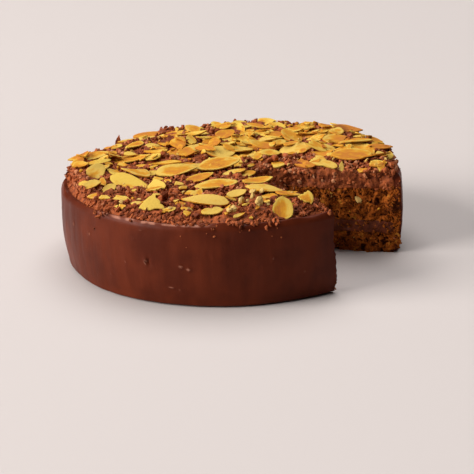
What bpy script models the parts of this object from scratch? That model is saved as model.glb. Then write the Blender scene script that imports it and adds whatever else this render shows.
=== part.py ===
"""Round chocolate layer cake with one slice of eight cut out, under crumbs and flaked almonds.

Metres, +Z up. The origin is the centre of the underside, and -Y is the front.
Azimuths run from the front towards +X, in degrees.
"""
import math

import bmesh
import bpy
import numpy as np
from mathutils import Matrix

# Driving sizes
CAKE_RADIUS = 0.100
SPONGE_RADIUS = 0.0952
GAP = 0.0003
MM = 0.001

# Mesh finish
WELD = 0.00001
FLAT_ANGLE = math.radians(0.5)
SHARP_ANGLE = math.radians(35.0)

# Heights above the table
LOWER_SPONGE_TOP = 0.0120
FILLING_TOP = 0.0190
UPPER_SPONGE_TOP = 0.0380
ICING_TOP = 0.0465
ICING_FOOT = 0.0008

# Outline of the iced side
BELLY_HEIGHT = 0.022
FOOT_DRAW_IN = 0.0026
TOP_DRAW_IN = 0.0012
SHOULDER_WIDTH = 0.0055
SHOULDER_DROP = 0.0045
SHOULDER_POINTS = 4
SIDE_HEIGHTS = (0.0050, 0.0120, 0.0220, 0.0330)
SIDE_UNEVENNESS = 0.0004
SIDE_WAVELENGTH = 0.085
ICING_STEPS = 60

# The missing slice; a relief wave is its share of the relief and its length
CUT_AZIMUTHS = (33.0, 78.0)
CUT_SEEDS = (41, 51)
CUT_REACH = 0.125
CUT_LOW = -0.006
CUT_HIGH = 0.066
CUT_SPACING = 0.0037
CUT_FADE = 0.010
CUT_SWAY = 0.0008
SWAY_WAVELENGTH = 0.045
CRUMB_RELIEF = 0.0011
SMOOTH_RELIEF = 0.0004
RELIEF_WAVES = ((0.7, 0.0100), (0.4, 0.0075))

# Waves in the layers
LAYER_STEPS = 32
LAYER_RINGS = 5
LAYER_WAVE = 0.0013
FLOOR_WAVELENGTH = 0.052
CEILING_WAVELENGTH = 0.060

# The crumb topping
CRUMB_RADIUS = 0.0955
CRUMB_SPACING = 0.0064
CRUMB_DEPTHS = (0.0038, 0.0056)
CRUMB_ROOT = 0.0040
CRUMB_TAPER = 0.012
CRUMB_SINK = 0.0016
CUT_CRUMBLE = 0.008
CUT_CRUMBLE_LEFT = 0.35
CRUMB_BUMP = 0.0011
BUMP_WAVES = ((0.6, 0.0125), (0.7, 0.0270))
BUMP_SEED = 21
CRUMB_SHUFFLE = 0.30
CHUNK_COUNT = 24
CHUNK_RING = (0.068, 0.090)
CHUNK_AZIMUTHS = (-85.0, 110.0)
CHUNK_SIZES = (0.005, 0.009)
CHUNK_STRETCH = (0.75, 1.15)
CHUNK_LIFT = 0.15

# The flaked almonds
FLAKE_SIDES = 8
TIP_POWER = 0.6
TIP_SCALE = 0.835
FLAKE_THICKNESS = 0.0012
FLAKE_LIFT = 0.0006
FLAKE_STACK = 0.0010
FLAKE_BITE = 0.0007
STACK_REACH = 0.32
STACK_MOST = 3
CLUMP_RADIUS = 0.0030
CLUMP_ROOT = 0.0012
FLAKE_COUNT = 58
FLAKE_TRIES = 400
FLAKE_RIM = 0.088
FLAKE_LENGTHS = (0.015, 0.026)
FLAKE_WIDTHS = (0.42, 0.55)
WHOLE_SHARE = 0.6
BROKEN_SHARES = (0.55, 0.85)
SPACING_BACK = 0.0110
SPACING_FRONT = 0.0200
SPACING_RAMP = (0.020, 0.070)
CUT_MARGIN = 0.006

# Mean and spread of the other flakes' tilts, in degrees
TILT_TO_FRONT = (4.0, 8.0)
TILT_TO_RIGHT = (0.0, 7.0)

# Flakes that show from the front: x, y and lift over the crumbs in mm, heading in degrees, length and
# width in mm, tilt to the front and to the right in degrees, and the share left where one is broken
FRONT_FLAKES = (
    (-57, -32, 2.2, -33, 27, 12.0, 20, 0, 1.0),
    (-79, -11, 3.0, 48, 17, 10.5, 34, 0, 1.0),
    (-84.5, 23, 2.4, 8, 25, 10.0, 12, -4, 1.0),
    (-89, 3, 1.2, -11, 12, 8.0, 10, -6, 0.8),
    (-82, -33, 1.0, 12, 12, 7.0, 10, -4, 0.8),
    (-69, -39, 2.0, 43, 11, 6.0, 32, 0, 0.8),
    (-77, -49, 1.0, 33, 8, 5.0, 18, 0, 0.8),
    (-61, -58, 1.0, -27, 13, 6.5, 8, 0, 0.8),
    (-42, -75, 2.5, 22, 17, 12.5, 28, 0, 0.7),
    (-34, -83, 1.0, 33, 10, 5.0, 12, 0, 0.8),
    (-14, -73, 1.8, -9, 26, 11.0, 11, 2, 1.0),
    (3, -59, 1.5, 27, 12, 7.0, 14, 0, 1.0),
    (-8, -41, 2.0, 13, 25, 12.0, 6, 0, 1.0),
    (-18, -26, 1.2, 35, 19, 8.5, 10, 0, 1.0),
    (-7, -9, 2.5, 19, 26, 13.5, 14, 0, 1.0),
    (-31, -17, 2.5, 13, 24, 12.5, 14, 0, 1.0),
    (-11, 41, 4.0, -3, 12, 11.0, 42, 0, 1.0),
    (27, -87, 3.0, -88, 13, 11.0, 52, 0, 1.0),
    (40, -77, 1.5, -37, 10, 7.5, 38, 0, 0.7),
    (18, -56, 2.5, -18, 21, 11.0, 2, 4, 1.0),
    (15, -38, 2.0, 17, 18, 10.0, 2, 0, 1.0),
    (20, -65, 1.0, 2, 11, 8.0, 5, 0, 0.8),
    (27, -2, 0.8, 14, 10, 8.0, 6, 0, 0.8),
    (53, -7, 1.6, -43, 22, 11.0, 14, 0, 0.8),
    (71, 1, 3.0, 6, 24, 14.0, 13, 3, 1.0),
    (84, -12, 1.5, 6, 13, 9.0, 8, 4, 0.8),
    (72, 56, 5.6, -6, 21, 9.0, 14, 4, 1.0),
    (89, 15, 2.4, 10, 16, 8.0, 6, 6, 1.0),
    (5, 84, 2.6, 28, 14, 9.0, 24, 0, 1.0),
    (-50, 74, 2.6, 10, 23, 10.0, 6, 0, 1.0),
    (-32, 24, 2.0, -31, 17, 10.0, 12, 0, 1.0),
)

# Colour and roughness of each food
ICING_FINISH = (0.075, 0.020, 0.010, 1.0), 0.38
FILLING_FINISH = (0.100, 0.022, 0.012, 1.0), 0.60
SPONGE_FINISH = (0.230, 0.075, 0.018, 1.0), 0.90


def clear_scene():
    """Remove whatever the file holds."""
    for thing in list(bpy.data.objects):
        bpy.data.objects.remove(thing, do_unlink=True)


def new_collection(name):
    """Make a collection and link it to the scene."""
    collection = bpy.data.collections.new(name)
    bpy.context.scene.collection.children.link(collection)
    return collection


def new_object(name, mesh, collection, material=None):
    """Put a mesh in the scene as a named object."""
    thing = bpy.data.objects.new(name, mesh)
    collection.objects.link(thing)
    if material:
        mesh.materials.append(material)
    return thing


def make_material(name, finish):
    """Make a Principled material for food from its colour and roughness."""
    colour, roughness = finish
    material = bpy.data.materials.new(name)
    material.use_nodes = True
    shader = material.node_tree.nodes["Principled BSDF"]
    shader.inputs["Base Color"].default_value = colour
    shader.inputs["Roughness"].default_value = roughness
    shader.inputs["Metallic"].default_value = 0.0
    return material


def applied(thing):
    """Turn an object's modifiers into its mesh."""
    graph = bpy.context.evaluated_depsgraph_get()
    mesh = bpy.data.meshes.new_from_object(thing.evaluated_get(graph))
    thing.modifiers.clear()
    thing.data = mesh
    return thing


def read_points(mesh):
    """Return a mesh's points as rows of x, y, z."""
    flat = np.empty(len(mesh.vertices) * 3)
    mesh.vertices.foreach_get("co", flat)
    return flat.reshape(-1, 3)


def write_points(mesh, points):
    """Put moved points back in a mesh."""
    mesh.vertices.foreach_set("co", points.ravel())
    mesh.update()


def ripple(across, along, wavelength, seed, waves=9):
    """Sum plane waves of about one wavelength in scattered directions, within about -1 to 1."""
    draw = np.random.default_rng(seed)
    total = np.zeros(np.shape(across))
    for _ in range(waves):
        angle = draw.uniform(0.0, math.tau)
        pitch = math.tau / (wavelength * draw.uniform(0.75, 1.35))
        phase = draw.uniform(0.0, math.tau)
        total += np.sin(pitch * (across * math.cos(angle) + along * math.sin(angle)) + phase)
    return total / math.sqrt(waves)


def filling_floor(across, along):
    """Height of the wavy face between the lower sponge and the filling."""
    return LOWER_SPONGE_TOP + LAYER_WAVE * ripple(across, along, FLOOR_WAVELENGTH, seed=3)


def filling_ceiling(across, along):
    """Height of the wavy face between the filling and the upper sponge."""
    return FILLING_TOP + LAYER_WAVE * ripple(across, along, CEILING_WAVELENGTH, seed=5)


def side_radius(height):
    """Radius of the iced side, drawn in parabolically below and above its belly."""
    if height < BELLY_HEIGHT:
        return CAKE_RADIUS - FOOT_DRAW_IN * (1.0 - height / BELLY_HEIGHT) ** 2
    rise = (height - BELLY_HEIGHT) / (ICING_TOP - BELLY_HEIGHT)
    return CAKE_RADIUS - TOP_DRAW_IN * rise ** 2


def shoulder_profile():
    """Quarter ellipse from the flat top down to the side, as radius and height pairs."""
    low = ICING_TOP - SHOULDER_DROP
    outer = side_radius(low)
    points = []
    for index in range(SHOULDER_POINTS):
        angle = 0.5 * math.pi * index / (SHOULDER_POINTS - 1)
        radius = outer - SHOULDER_WIDTH * (1.0 - math.sin(angle))
        points.append((radius, low + SHOULDER_DROP * math.cos(angle)))
    return points


def turned(name, profile, steps, collection, material):
    """Turn a profile of radius and height pairs, outer side running down, once round Z."""
    points = [(radius, 0.0, height) for radius, height in profile]
    edges = [(index, index + 1) for index in range(len(points) - 1)]
    mesh = bpy.data.meshes.new(name)
    mesh.from_pydata(points, edges, [])
    thing = new_object(name, mesh, collection, material)
    screw = thing.modifiers.new("turn", "SCREW")
    screw.axis = "Z"
    screw.angle = math.tau
    screw.steps = steps
    screw.render_steps = steps
    screw.use_merge_vertices = True
    screw.merge_threshold = 0.0001
    return applied(thing)


def layer(name, low, high, collection, material):
    """Turn one layer of the cake, with rings across its top and its underside."""
    radii = [SPONGE_RADIUS * ring / LAYER_RINGS for ring in range(LAYER_RINGS + 1)]
    profile = [(radius, high) for radius in radii]
    profile += [(radius, low) for radius in reversed(radii)]
    return turned(name, profile, LAYER_STEPS, collection, material)


def bend_layer(thing, low, high, floor=None, ceiling=None):
    """Move a layer's flat underside and top onto the wavy faces beside them."""
    points = read_points(thing.data)
    middle = 0.5 * (low + high)
    under = points[:, 2] < middle
    over = ~under
    if floor:
        points[under, 2] = floor(points[under, 0], points[under, 1])
    if ceiling:
        points[over, 2] = ceiling(points[over, 0], points[over, 1])
    write_points(thing.data, points)


def make_lower_sponge(collection, material):
    """Flat disc of sponge with a wavy top."""
    thing = layer("lower_sponge", 0.0, LOWER_SPONGE_TOP, collection, material)
    bend_layer(thing, 0.0, LOWER_SPONGE_TOP, ceiling=filling_floor)
    return thing


def make_filling(collection, material):
    """Chocolate layer between the sponges, wavy on both faces."""
    low = LOWER_SPONGE_TOP + GAP
    high = FILLING_TOP - GAP
    thing = layer("filling", low, high, collection, material)
    bend_layer(
        thing, low, high,
        floor=lambda x, y: filling_floor(x, y) + GAP,
        ceiling=lambda x, y: filling_ceiling(x, y) - GAP,
    )
    return thing


def make_upper_sponge(collection, material):
    """Thicker disc of sponge with a wavy underside."""
    thing = layer("upper_sponge", FILLING_TOP, UPPER_SPONGE_TOP, collection, material)
    bend_layer(thing, FILLING_TOP, UPPER_SPONGE_TOP, floor=filling_ceiling)
    return thing


def make_icing_coat(collection, material):
    """Turned coat of icing over the sponges: outer side, shoulder, top and the hollow under it."""
    inner = SPONGE_RADIUS + GAP
    ceiling = UPPER_SPONGE_TOP + GAP
    profile = [(0.0, ICING_TOP)]
    profile += shoulder_profile()
    profile += [(side_radius(height), height) for height in reversed(SIDE_HEIGHTS)]
    profile += [(side_radius(ICING_FOOT), ICING_FOOT), (inner, ICING_FOOT)]
    profile += [(inner, ceiling), (0.0, ceiling)]
    thing = turned("icing", profile, ICING_STEPS, collection, material)
    points = read_points(thing.data)
    radius = np.hypot(points[:, 0], points[:, 1])
    outside = radius > inner + GAP
    swell = ripple(points[:, 0], points[:, 1] + points[:, 2], SIDE_WAVELENGTH, seed=11)
    swell *= SIDE_UNEVENNESS
    stretch = np.where(outside, 1.0 + swell / np.maximum(radius, inner), 1.0)
    points[:, :2] *= stretch[:, None]
    write_points(thing.data, points)
    return thing


def cut_direction(azimuth):
    """Unit vector from the centre along an azimuth, and the one square to it."""
    angle = math.radians(azimuth)
    return np.array([math.sin(angle), -math.cos(angle)]), np.array([math.cos(angle), math.sin(angle)])


def cut_distance(across, along):
    """Distance on the top from the nearer line of the cut."""
    nearest = np.hypot(across, along)
    for azimuth in CUT_AZIMUTHS:
        outward, square = cut_direction(azimuth)
        reach = across * outward[0] + along * outward[1]
        aside = np.abs(across * square[0] + along * square[1])
        nearest = np.where(reach > 0.0, np.minimum(nearest, aside), nearest)
    return nearest


def crumb_height(across, along):
    """Height of the crumb topping: bumps on a bed, deeper at the back, thin at the rim and the cut."""
    radius = np.hypot(across, along)
    share = np.clip((CRUMB_RADIUS - radius) / CRUMB_TAPER, 0.0, 1.0)
    share = share * (2.0 - share)
    crumbled = np.clip(cut_distance(across, along) / CUT_CRUMBLE, 0.0, 1.0)
    front, back = CRUMB_DEPTHS
    depth = front + (back - front) * np.clip(0.5 + along / CAKE_RADIUS, 0.0, 1.0)
    bed = depth * (CUT_CRUMBLE_LEFT + (1.0 - CUT_CRUMBLE_LEFT) * crumbled)
    for index, (part, wavelength) in enumerate(BUMP_WAVES):
        bed = bed + CRUMB_BUMP * part * ripple(across, along, wavelength, BUMP_SEED + index)
    return ICING_TOP - CRUMB_SINK * (1.0 - share) + bed * share


def make_crumb_bed(collection):
    """Round pad from a grid, shuffled and bumped on top and rooted in the icing."""
    cells = math.ceil(2.0 * CRUMB_RADIUS / CRUMB_SPACING)
    form = bmesh.new()
    bmesh.ops.create_grid(form, x_segments=cells, y_segments=cells, size=CRUMB_RADIUS)
    outside = [face for face in form.faces if face.calc_center_median().length > CRUMB_RADIUS]
    bmesh.ops.delete(form, geom=outside, context="FACES")
    draw = np.random.default_rng(31)
    for vert in form.verts:
        if vert.is_boundary:
            vert.co *= CRUMB_RADIUS / vert.co.length
        else:
            vert.co.x += CRUMB_SHUFFLE * CRUMB_SPACING * draw.uniform(-1.0, 1.0)
            vert.co.y += CRUMB_SHUFFLE * CRUMB_SPACING * draw.uniform(-1.0, 1.0)
        vert.co.z = crumb_height(vert.co.x, vert.co.y)
    bmesh.ops.triangulate(form, faces=form.faces)
    skirt = bmesh.ops.extrude_face_region(form, geom=list(form.faces))
    for vert in (item for item in skirt["geom"] if isinstance(item, bmesh.types.BMVert)):
        vert.co.z = ICING_TOP - CRUMB_ROOT
    bmesh.ops.recalc_face_normals(form, faces=form.faces)
    mesh = bpy.data.meshes.new("crumb_bed")
    form.to_mesh(mesh)
    form.free()
    return new_object("crumb_bed", mesh, collection)


def cut_relief(reach, height, seed):
    """How far a cut face stands in or out: a slow sway, and the coarse crumb where it is sponge."""
    filling = (height > LOWER_SPONGE_TOP) & (height < FILLING_TOP)
    smooth = filling | (height > UPPER_SPONGE_TOP) | (reach > SPONGE_RADIUS)
    size = np.where(smooth, SMOOTH_RELIEF, CRUMB_RELIEF)
    relief = CUT_SWAY * ripple(reach, height, SWAY_WAVELENGTH, seed + len(RELIEF_WAVES))
    for index, (part, wavelength) in enumerate(RELIEF_WAVES):
        relief = relief + size * part * ripple(reach, height, wavelength, seed + index)
    return relief * np.clip(reach / CUT_FADE, 0.0, 1.0)


def make_slice_cutter(collection):
    """Wedge whose two faces are sheets with crumb relief, meeting at the centre line."""
    columns = round(CUT_REACH / CUT_SPACING)
    rows = round((CUT_HIGH - CUT_LOW) / CUT_SPACING)
    form = bmesh.new()
    bmesh.ops.create_grid(form, x_segments=columns, y_segments=rows, size=1.0)
    second_sheet = bmesh.ops.extrude_face_region(form, geom=list(form.faces))
    second_verts = [item for item in second_sheet["geom"] if isinstance(item, bmesh.types.BMVert)]
    bmesh.ops.translate(form, verts=second_verts, vec=(0.0, 0.0, 1.0))
    mesh = bpy.data.meshes.new("slice_cutter")
    form.to_mesh(mesh)

    points = read_points(mesh)
    reach = CUT_REACH * 0.5 * (1.0 + points[:, 0])
    height = CUT_LOW + (CUT_HIGH - CUT_LOW) * 0.5 * (1.0 + points[:, 1])
    sheet = points[:, 2] > 0.5
    for azimuth, chosen, seed in zip(CUT_AZIMUTHS, (~sheet, sheet), CUT_SEEDS):
        outward, square = cut_direction(azimuth)
        relief = cut_relief(reach[chosen], height[chosen], seed)
        points[chosen, :2] = reach[chosen, None] * outward + relief[:, None] * square
    points[:, 2] = height
    write_points(mesh, points)

    form.clear()
    form.from_mesh(mesh)
    bmesh.ops.remove_doubles(form, verts=form.verts, dist=WELD)
    bmesh.ops.recalc_face_normals(form, faces=form.faces)
    form.to_mesh(mesh)
    form.free()
    return new_object("slice_cutter", mesh, collection)


def outside_cut(x, y, margin):
    """True where a point of the top is clear of the missing slice by a margin."""
    first_square = cut_direction(CUT_AZIMUTHS[0])[1]
    second_square = cut_direction(CUT_AZIMUTHS[1])[1]
    past_first = x * first_square[0] + y * first_square[1] > -margin
    before_second = x * second_square[0] + y * second_square[1] < margin
    return not (past_first and before_second)


def flake_spacing(y):
    """Least distance between flakes: close at the back, wider towards the front rim."""
    near, far = SPACING_RAMP
    share = min(max((-y - near) / (far - near), 0.0), 1.0)
    return SPACING_BACK + (SPACING_FRONT - SPACING_BACK) * share


def place_flakes():
    """List every flake: the chosen ones in front, then seeded ones, the largest first.

    A row is x, y, lift, heading, length, width, tilt to the front, tilt to the right, share left.
    """
    rows = [(x * MM, y * MM, lift * MM, turn, length * MM, width * MM, front, right, share)
            for x, y, lift, turn, length, width, front, right, share in FRONT_FLAKES]
    draw = np.random.default_rng(61)
    lengths = np.sort(draw.uniform(*FLAKE_LENGTHS, FLAKE_COUNT))[::-1]
    for length in lengths:
        for _ in range(FLAKE_TRIES):
            radius = FLAKE_RIM * math.sqrt(draw.uniform())
            angle = draw.uniform(0.0, math.tau)
            x = radius * math.sin(angle)
            y = -radius * math.cos(angle)
            clear = all(math.hypot(x - row[0], y - row[1]) > flake_spacing(y) for row in rows)
            if clear and outside_cut(x, y, CUT_MARGIN):
                break
        else:
            continue
        turn = draw.uniform(0.0, 360.0)
        front = draw.normal(*TILT_TO_FRONT)
        right = draw.normal(*TILT_TO_RIGHT)
        share = 1.0 if draw.uniform() < WHOLE_SHARE else draw.uniform(*BROKEN_SHARES)
        width = length * draw.uniform(*FLAKE_WIDTHS)
        under = sum(math.hypot(x - row[0], y - row[1]) < STACK_REACH * (length + row[4]) for row in rows)
        lift = FLAKE_LIFT + FLAKE_STACK * min(under, STACK_MOST)
        row = (x, y, lift, turn, length, width, front, right, share)
        drop = max(0.0, flake_clearance(row) + FLAKE_BITE)
        rows.append((x, y, lift - drop, turn, length, width, front, right, share))
    return rows


def flake_outline(length, width, share):
    """Teardrop: cosine along, sine times a power of the half-angle sine across, cut where broken."""
    angle = math.tau * np.arange(FLAKE_SIDES) / FLAKE_SIDES
    along = np.cos(angle)
    across = np.sin(angle) * np.sin(0.5 * angle) ** TIP_POWER / TIP_SCALE
    along = np.maximum(along, 1.0 - 2.0 * share)
    return 0.5 * length * along, 0.5 * width * across


def flake_place(row):
    """Matrix that turns and tilts a flake and sets it over the crumbs."""
    x, y, lift, turn, _, _, front, right, _ = row
    height = float(crumb_height(x, y)) + lift
    tilt = Matrix.Rotation(math.radians(right), 4, "Y") @ Matrix.Rotation(math.radians(front), 4, "X")
    return Matrix.Translation((x, y, height)) @ tilt @ Matrix.Rotation(math.radians(turn), 4, "Z")


def flake_clearance(row):
    """Height over the crumbs of the lowest corner of a flake's underside."""
    along, across = flake_outline(row[4], row[5], row[8])
    corners = np.column_stack([along, across, np.full(FLAKE_SIDES, -0.5 * FLAKE_THICKNESS)])
    place = np.array(flake_place(row))
    corners = corners @ place[:3, :3].T + place[:3, 3]
    return float(np.min(corners[:, 2] - crumb_height(corners[:, 0], corners[:, 1])))


def make_clump(name, row, collection):
    """Flattened twenty-sided clump of crumbs, from the bed up to the middle of the flake it carries."""
    x, y, lift = row[:3]
    half_height = 0.5 * (lift + CLUMP_ROOT)
    mesh = bpy.data.meshes.new(name)
    form = bmesh.new()
    bmesh.ops.create_icosphere(form, subdivisions=1, radius=1.0)
    bmesh.ops.scale(form, verts=form.verts, vec=(CLUMP_RADIUS, CLUMP_RADIUS, half_height))
    form.to_mesh(mesh)
    form.free()
    mesh.transform(Matrix.Translation((x, y, float(crumb_height(x, y)) + lift - half_height)))
    return new_object(name, mesh, collection)


def make_flake(name, row, collection):
    """One flake: a flat prism on a teardrop outline, tilted and set on the crumbs."""
    length, width, share = row[4], row[5], row[8]
    mesh = bpy.data.meshes.new(name)
    form = bmesh.new()
    bmesh.ops.create_cone(
        form, cap_ends=True, segments=FLAKE_SIDES, radius1=1.0, radius2=1.0, depth=FLAKE_THICKNESS
    )
    form.verts.ensure_lookup_table()
    along, across = flake_outline(length, width, share)
    for vert in form.verts:
        angle = math.atan2(vert.co.y, vert.co.x) % math.tau
        place = round(angle / math.tau * FLAKE_SIDES) % FLAKE_SIDES
        vert.co.x = along[place]
        vert.co.y = across[place]
    bmesh.ops.remove_doubles(form, verts=form.verts, dist=WELD)
    form.to_mesh(mesh)
    form.free()
    mesh.transform(flake_place(row))
    return new_object(name, mesh, collection)


def make_chunks(collection):
    """Shaken twenty-sided lumps of chocolate among the crumbs of the front rim."""
    draw = np.random.default_rng(71)
    for index in range(CHUNK_COUNT):
        radius = draw.uniform(*CHUNK_RING)
        angle = math.radians(draw.uniform(*CHUNK_AZIMUTHS))
        x = radius * math.sin(angle)
        y = -radius * math.cos(angle)
        size = draw.uniform(*CHUNK_SIZES)
        if not outside_cut(x, y, size):
            continue
        form = bmesh.new()
        bmesh.ops.create_icosphere(form, subdivisions=1, radius=0.5 * size)
        for vert in form.verts:
            vert.co *= draw.uniform(*CHUNK_STRETCH)
        mesh = bpy.data.meshes.new(f"chunk_{index:02d}")
        form.to_mesh(mesh)
        form.free()
        height = float(crumb_height(x, y)) + CHUNK_LIFT * size
        mesh.transform(Matrix.Translation((x, y, height)))
        new_object(mesh.name, mesh, collection)


def keep_main_shell(mesh):
    """Drop loose scraps and fill sealed hollows by keeping the largest shell alone."""
    form = bmesh.new()
    form.from_mesh(mesh)
    left = set(form.verts)
    shells = []
    while left:
        shell = set()
        front = [left.pop()]
        while front:
            vert = front.pop()
            shell.add(vert)
            for edge in vert.link_edges:
                other = edge.other_vert(vert)
                if other in left:
                    left.remove(other)
                    front.append(other)
        shells.append(shell)
    main = max(shells, key=len)
    bmesh.ops.delete(form, geom=[vert for vert in form.verts if vert not in main], context="VERTS")
    bmesh.ops.dissolve_limit(form, angle_limit=FLAT_ANGLE, verts=form.verts, edges=form.edges)
    bmesh.ops.triangulate(form, faces=form.faces)
    form.to_mesh(mesh)
    form.free()


def add_boolean(thing, operation, other=None, others=None, solver="EXACT"):
    """Give an object a Boolean with one object or with a collection."""
    cut = thing.modifiers.new(operation.lower(), "BOOLEAN")
    cut.operation = operation
    cut.solver = solver
    if others:
        cut.operand_type = "COLLECTION"
        cut.collection = others
    else:
        cut.object = other


def hide_as_guide(thing):
    """Show an object as wire and keep it out of renders."""
    thing.display_type = "WIRE"
    thing.hide_render = True


def empty_collection(collection):
    """Remove a collection and the objects in it."""
    for thing in list(collection.objects):
        bpy.data.objects.remove(thing, do_unlink=True)
    bpy.data.collections.remove(collection)


def build_cake():
    """Make the four solids, take the slice out of each, and fuse the topping to the icing."""
    clear_scene()
    cake = new_collection("chocolate_cake")
    cutters = new_collection("cutters")
    topping = new_collection("topping")

    icing_material = make_material("chocolate_icing", ICING_FINISH)
    filling_material = make_material("chocolate_filling", FILLING_FINISH)
    sponge_material = make_material("sponge", SPONGE_FINISH)

    cutter = make_slice_cutter(cutters)
    crumb_bed = make_crumb_bed(cutters)
    layers = (
        make_lower_sponge(cake, sponge_material),
        make_filling(cake, filling_material),
        make_upper_sponge(cake, sponge_material),
    )
    for thing in layers:
        add_boolean(thing, "DIFFERENCE", cutter)
        applied(thing)
        keep_main_shell(thing.data)

    icing = make_icing_coat(cake, icing_material)
    add_boolean(icing, "UNION", crumb_bed)
    add_boolean(icing, "DIFFERENCE", cutter)
    applied(icing)
    for index, row in enumerate(place_flakes()):
        make_flake(f"flake_{index:03d}", row, topping)
        if flake_clearance(row) > -0.5 * FLAKE_BITE:
            make_clump(f"clump_{index:03d}", row, topping)
    make_chunks(topping)
    add_boolean(icing, "UNION", others=topping, solver="MANIFOLD")
    applied(icing)
    keep_main_shell(icing.data)
    empty_collection(topping)

    for guide in (cutter, crumb_bed):
        hide_as_guide(guide)
    for thing in cake.objects:
        thing.data.shade_smooth()
        thing.data.set_sharp_from_angle(angle=SHARP_ANGLE)


build_cake()
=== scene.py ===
"""Looks of a round chocolate layer cake with one slice of eight cut out.

Metres, +Z up. The origin is the centre of the underside, and -Y is the front.
Azimuths run from the front towards +X. The layers, the crumbs and the flakes follow the same
rules and numbers as the solids that they stand for.
"""

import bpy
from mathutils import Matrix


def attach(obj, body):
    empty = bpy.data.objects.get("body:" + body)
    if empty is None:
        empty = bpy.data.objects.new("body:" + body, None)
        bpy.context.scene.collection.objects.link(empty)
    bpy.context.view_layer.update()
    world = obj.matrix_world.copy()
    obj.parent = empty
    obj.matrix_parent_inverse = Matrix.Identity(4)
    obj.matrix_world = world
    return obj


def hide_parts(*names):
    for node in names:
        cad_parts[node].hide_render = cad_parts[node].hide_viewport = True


bl_info = {
    "name": "Chocolate layer cake",
    "version": (1, 0, 0),
    "blender": (4, 5, 0),
    "location": "View3D > Sidebar > Cake",
    "description": "Dresses a layer cake with icing, crumbs, flaked almonds and torn sponge",
    "category": "Object",
}

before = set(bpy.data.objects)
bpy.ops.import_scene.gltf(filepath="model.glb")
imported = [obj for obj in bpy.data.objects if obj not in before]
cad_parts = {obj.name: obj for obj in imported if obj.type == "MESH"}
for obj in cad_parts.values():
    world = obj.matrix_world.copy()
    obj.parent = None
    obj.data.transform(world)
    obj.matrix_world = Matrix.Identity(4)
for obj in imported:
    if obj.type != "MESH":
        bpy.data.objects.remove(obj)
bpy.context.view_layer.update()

import math
from collections import namedtuple

import bmesh
import bpy
import numpy as np
from bpy.props import FloatProperty, FloatVectorProperty, IntProperty, PointerProperty
from mathutils import Matrix, Vector

BODY = "root"

MM = 0.001

# Driving sizes, as in the solids
CAKE_RADIUS = 0.100
SPONGE_RADIUS = 0.0952
GAP = 0.0003
LOWER_SPONGE_TOP = 0.0120
FILLING_TOP = 0.0190
UPPER_SPONGE_TOP = 0.0380
ICING_TOP = 0.0465
ICING_FOOT = 0.0008
COAT_INNER = SPONGE_RADIUS + GAP

# Outline of the iced side
BELLY_HEIGHT = 0.022
FOOT_DRAW_IN = 0.0026
TOP_DRAW_IN = 0.0012
SHOULDER_WIDTH = 0.0055
SHOULDER_DROP = 0.0045
SHOULDER_POWER = 2.8
LIP_RADIUS = 0.0974
LIP_WIDTH = 0.0010
LIP_RISE = 0.0009
SIDE_UNEVENNESS = 0.0004
SIDE_WAVELENGTH = 0.085
FOOT_ROUNDING = 0.0012
FOOT_BEAD = 0.0004
FOOT_BEAD_HEIGHT = 0.0024
BEAD_WAVE = (0.050, 105)
LIP_WAVE = (0.020, 104)
SAG_WAVE = (0.034, 103)
SMEARS = ((1.6, 0.30, 0.0140, 101), (0.5, 0.15, 0.0046, 102))
SMEAR_WAVES = 14
SIDE_ROWS = 48
SHOULDER_ROWS = 18
FOOT_ROWS = 4
COAT_LAYERS = 5
COAT_COLUMNS = 560

# The missing slice
CUT_AZIMUTHS = (33.0, 78.0)
CUT_SEEDS = (41, 51)
CUT_FACES = ((CUT_AZIMUTHS[1], CUT_SEEDS[1], -1.0), (CUT_AZIMUTHS[0] + 360.0, CUT_SEEDS[0], 1.0))
CUT_FADE = 0.010
CUT_SWAY = 0.0008
SWAY_WAVELENGTH = 0.045
CRUMB_RELIEF = 0.0011
SMOOTH_RELIEF = 0.0004
RELIEF_WAVES = ((0.7, 0.0100), (0.4, 0.0075))
END_FADE = 20.0

# Waves in the layers
LAYER_WAVE = 0.0013
FLOOR_WAVELENGTH = 0.052
CEILING_WAVELENGTH = 0.060
LAYER_COLUMNS = 36
SPONGE_STEP = 0.00036
FILLING_STEP = 0.00050

# The crumb topping
CRUMB_RADIUS = 0.0955
CRUMB_DEPTHS = (0.0038, 0.0056)
CRUMB_TAPER = 0.012
CRUMB_SINK = 0.0016
CUT_CRUMBLE = 0.008
CUT_CRUMBLE_LEFT = 0.35
CRUMB_BUMP = 0.0011
BUMP_WAVES = ((0.6, 0.0125), (0.7, 0.0270))
BUMP_SEED = 21

# The loose crumbs heaped up inside the rim
PILE_RISE = 0.0030
PILE_START = (0.083, 0.0925)
PILE_EDGE = (0.0966, 0.0986)
PILE_FRONT_SHARE = 0.25
PILE_BEHIND = (-0.090, -0.035)
PILE_CLEAR = (0.001, 0.007)
PILE_WAVE = 0.35
PILE_WAVELENGTH = 0.017
PILE_SEED = 34
SHOULDER_SINK = 0.0002
CORNER_SINK = 0.0018

# The bed under the loose crumbs
BED_STEP = 0.00064
BED_LAYERS = 14
BED_COLUMNS = 250
BED_DOME = 0.0009
BED_CELL = 0.0042
BED_SEED = 97

# Chips: the large ones of the solids, smaller ones, and lumps beside the cut's apex
CHUNK_COUNT = 24
CHUNK_RING = (0.068, 0.090)
CHUNK_AZIMUTHS = (-85.0, 110.0)
CHUNK_SIZES = (0.005, 0.009)
CHUNK_STRETCH = (0.75, 1.15)
CHUNK_LIFT = 0.15
CHUNK_CORNERS = 12
CHIP_RIM = 0.093
APEX_LUMPS = 26
APEX_SPOT = ((0.020, 0.064), (-0.010, 0.013))

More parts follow.
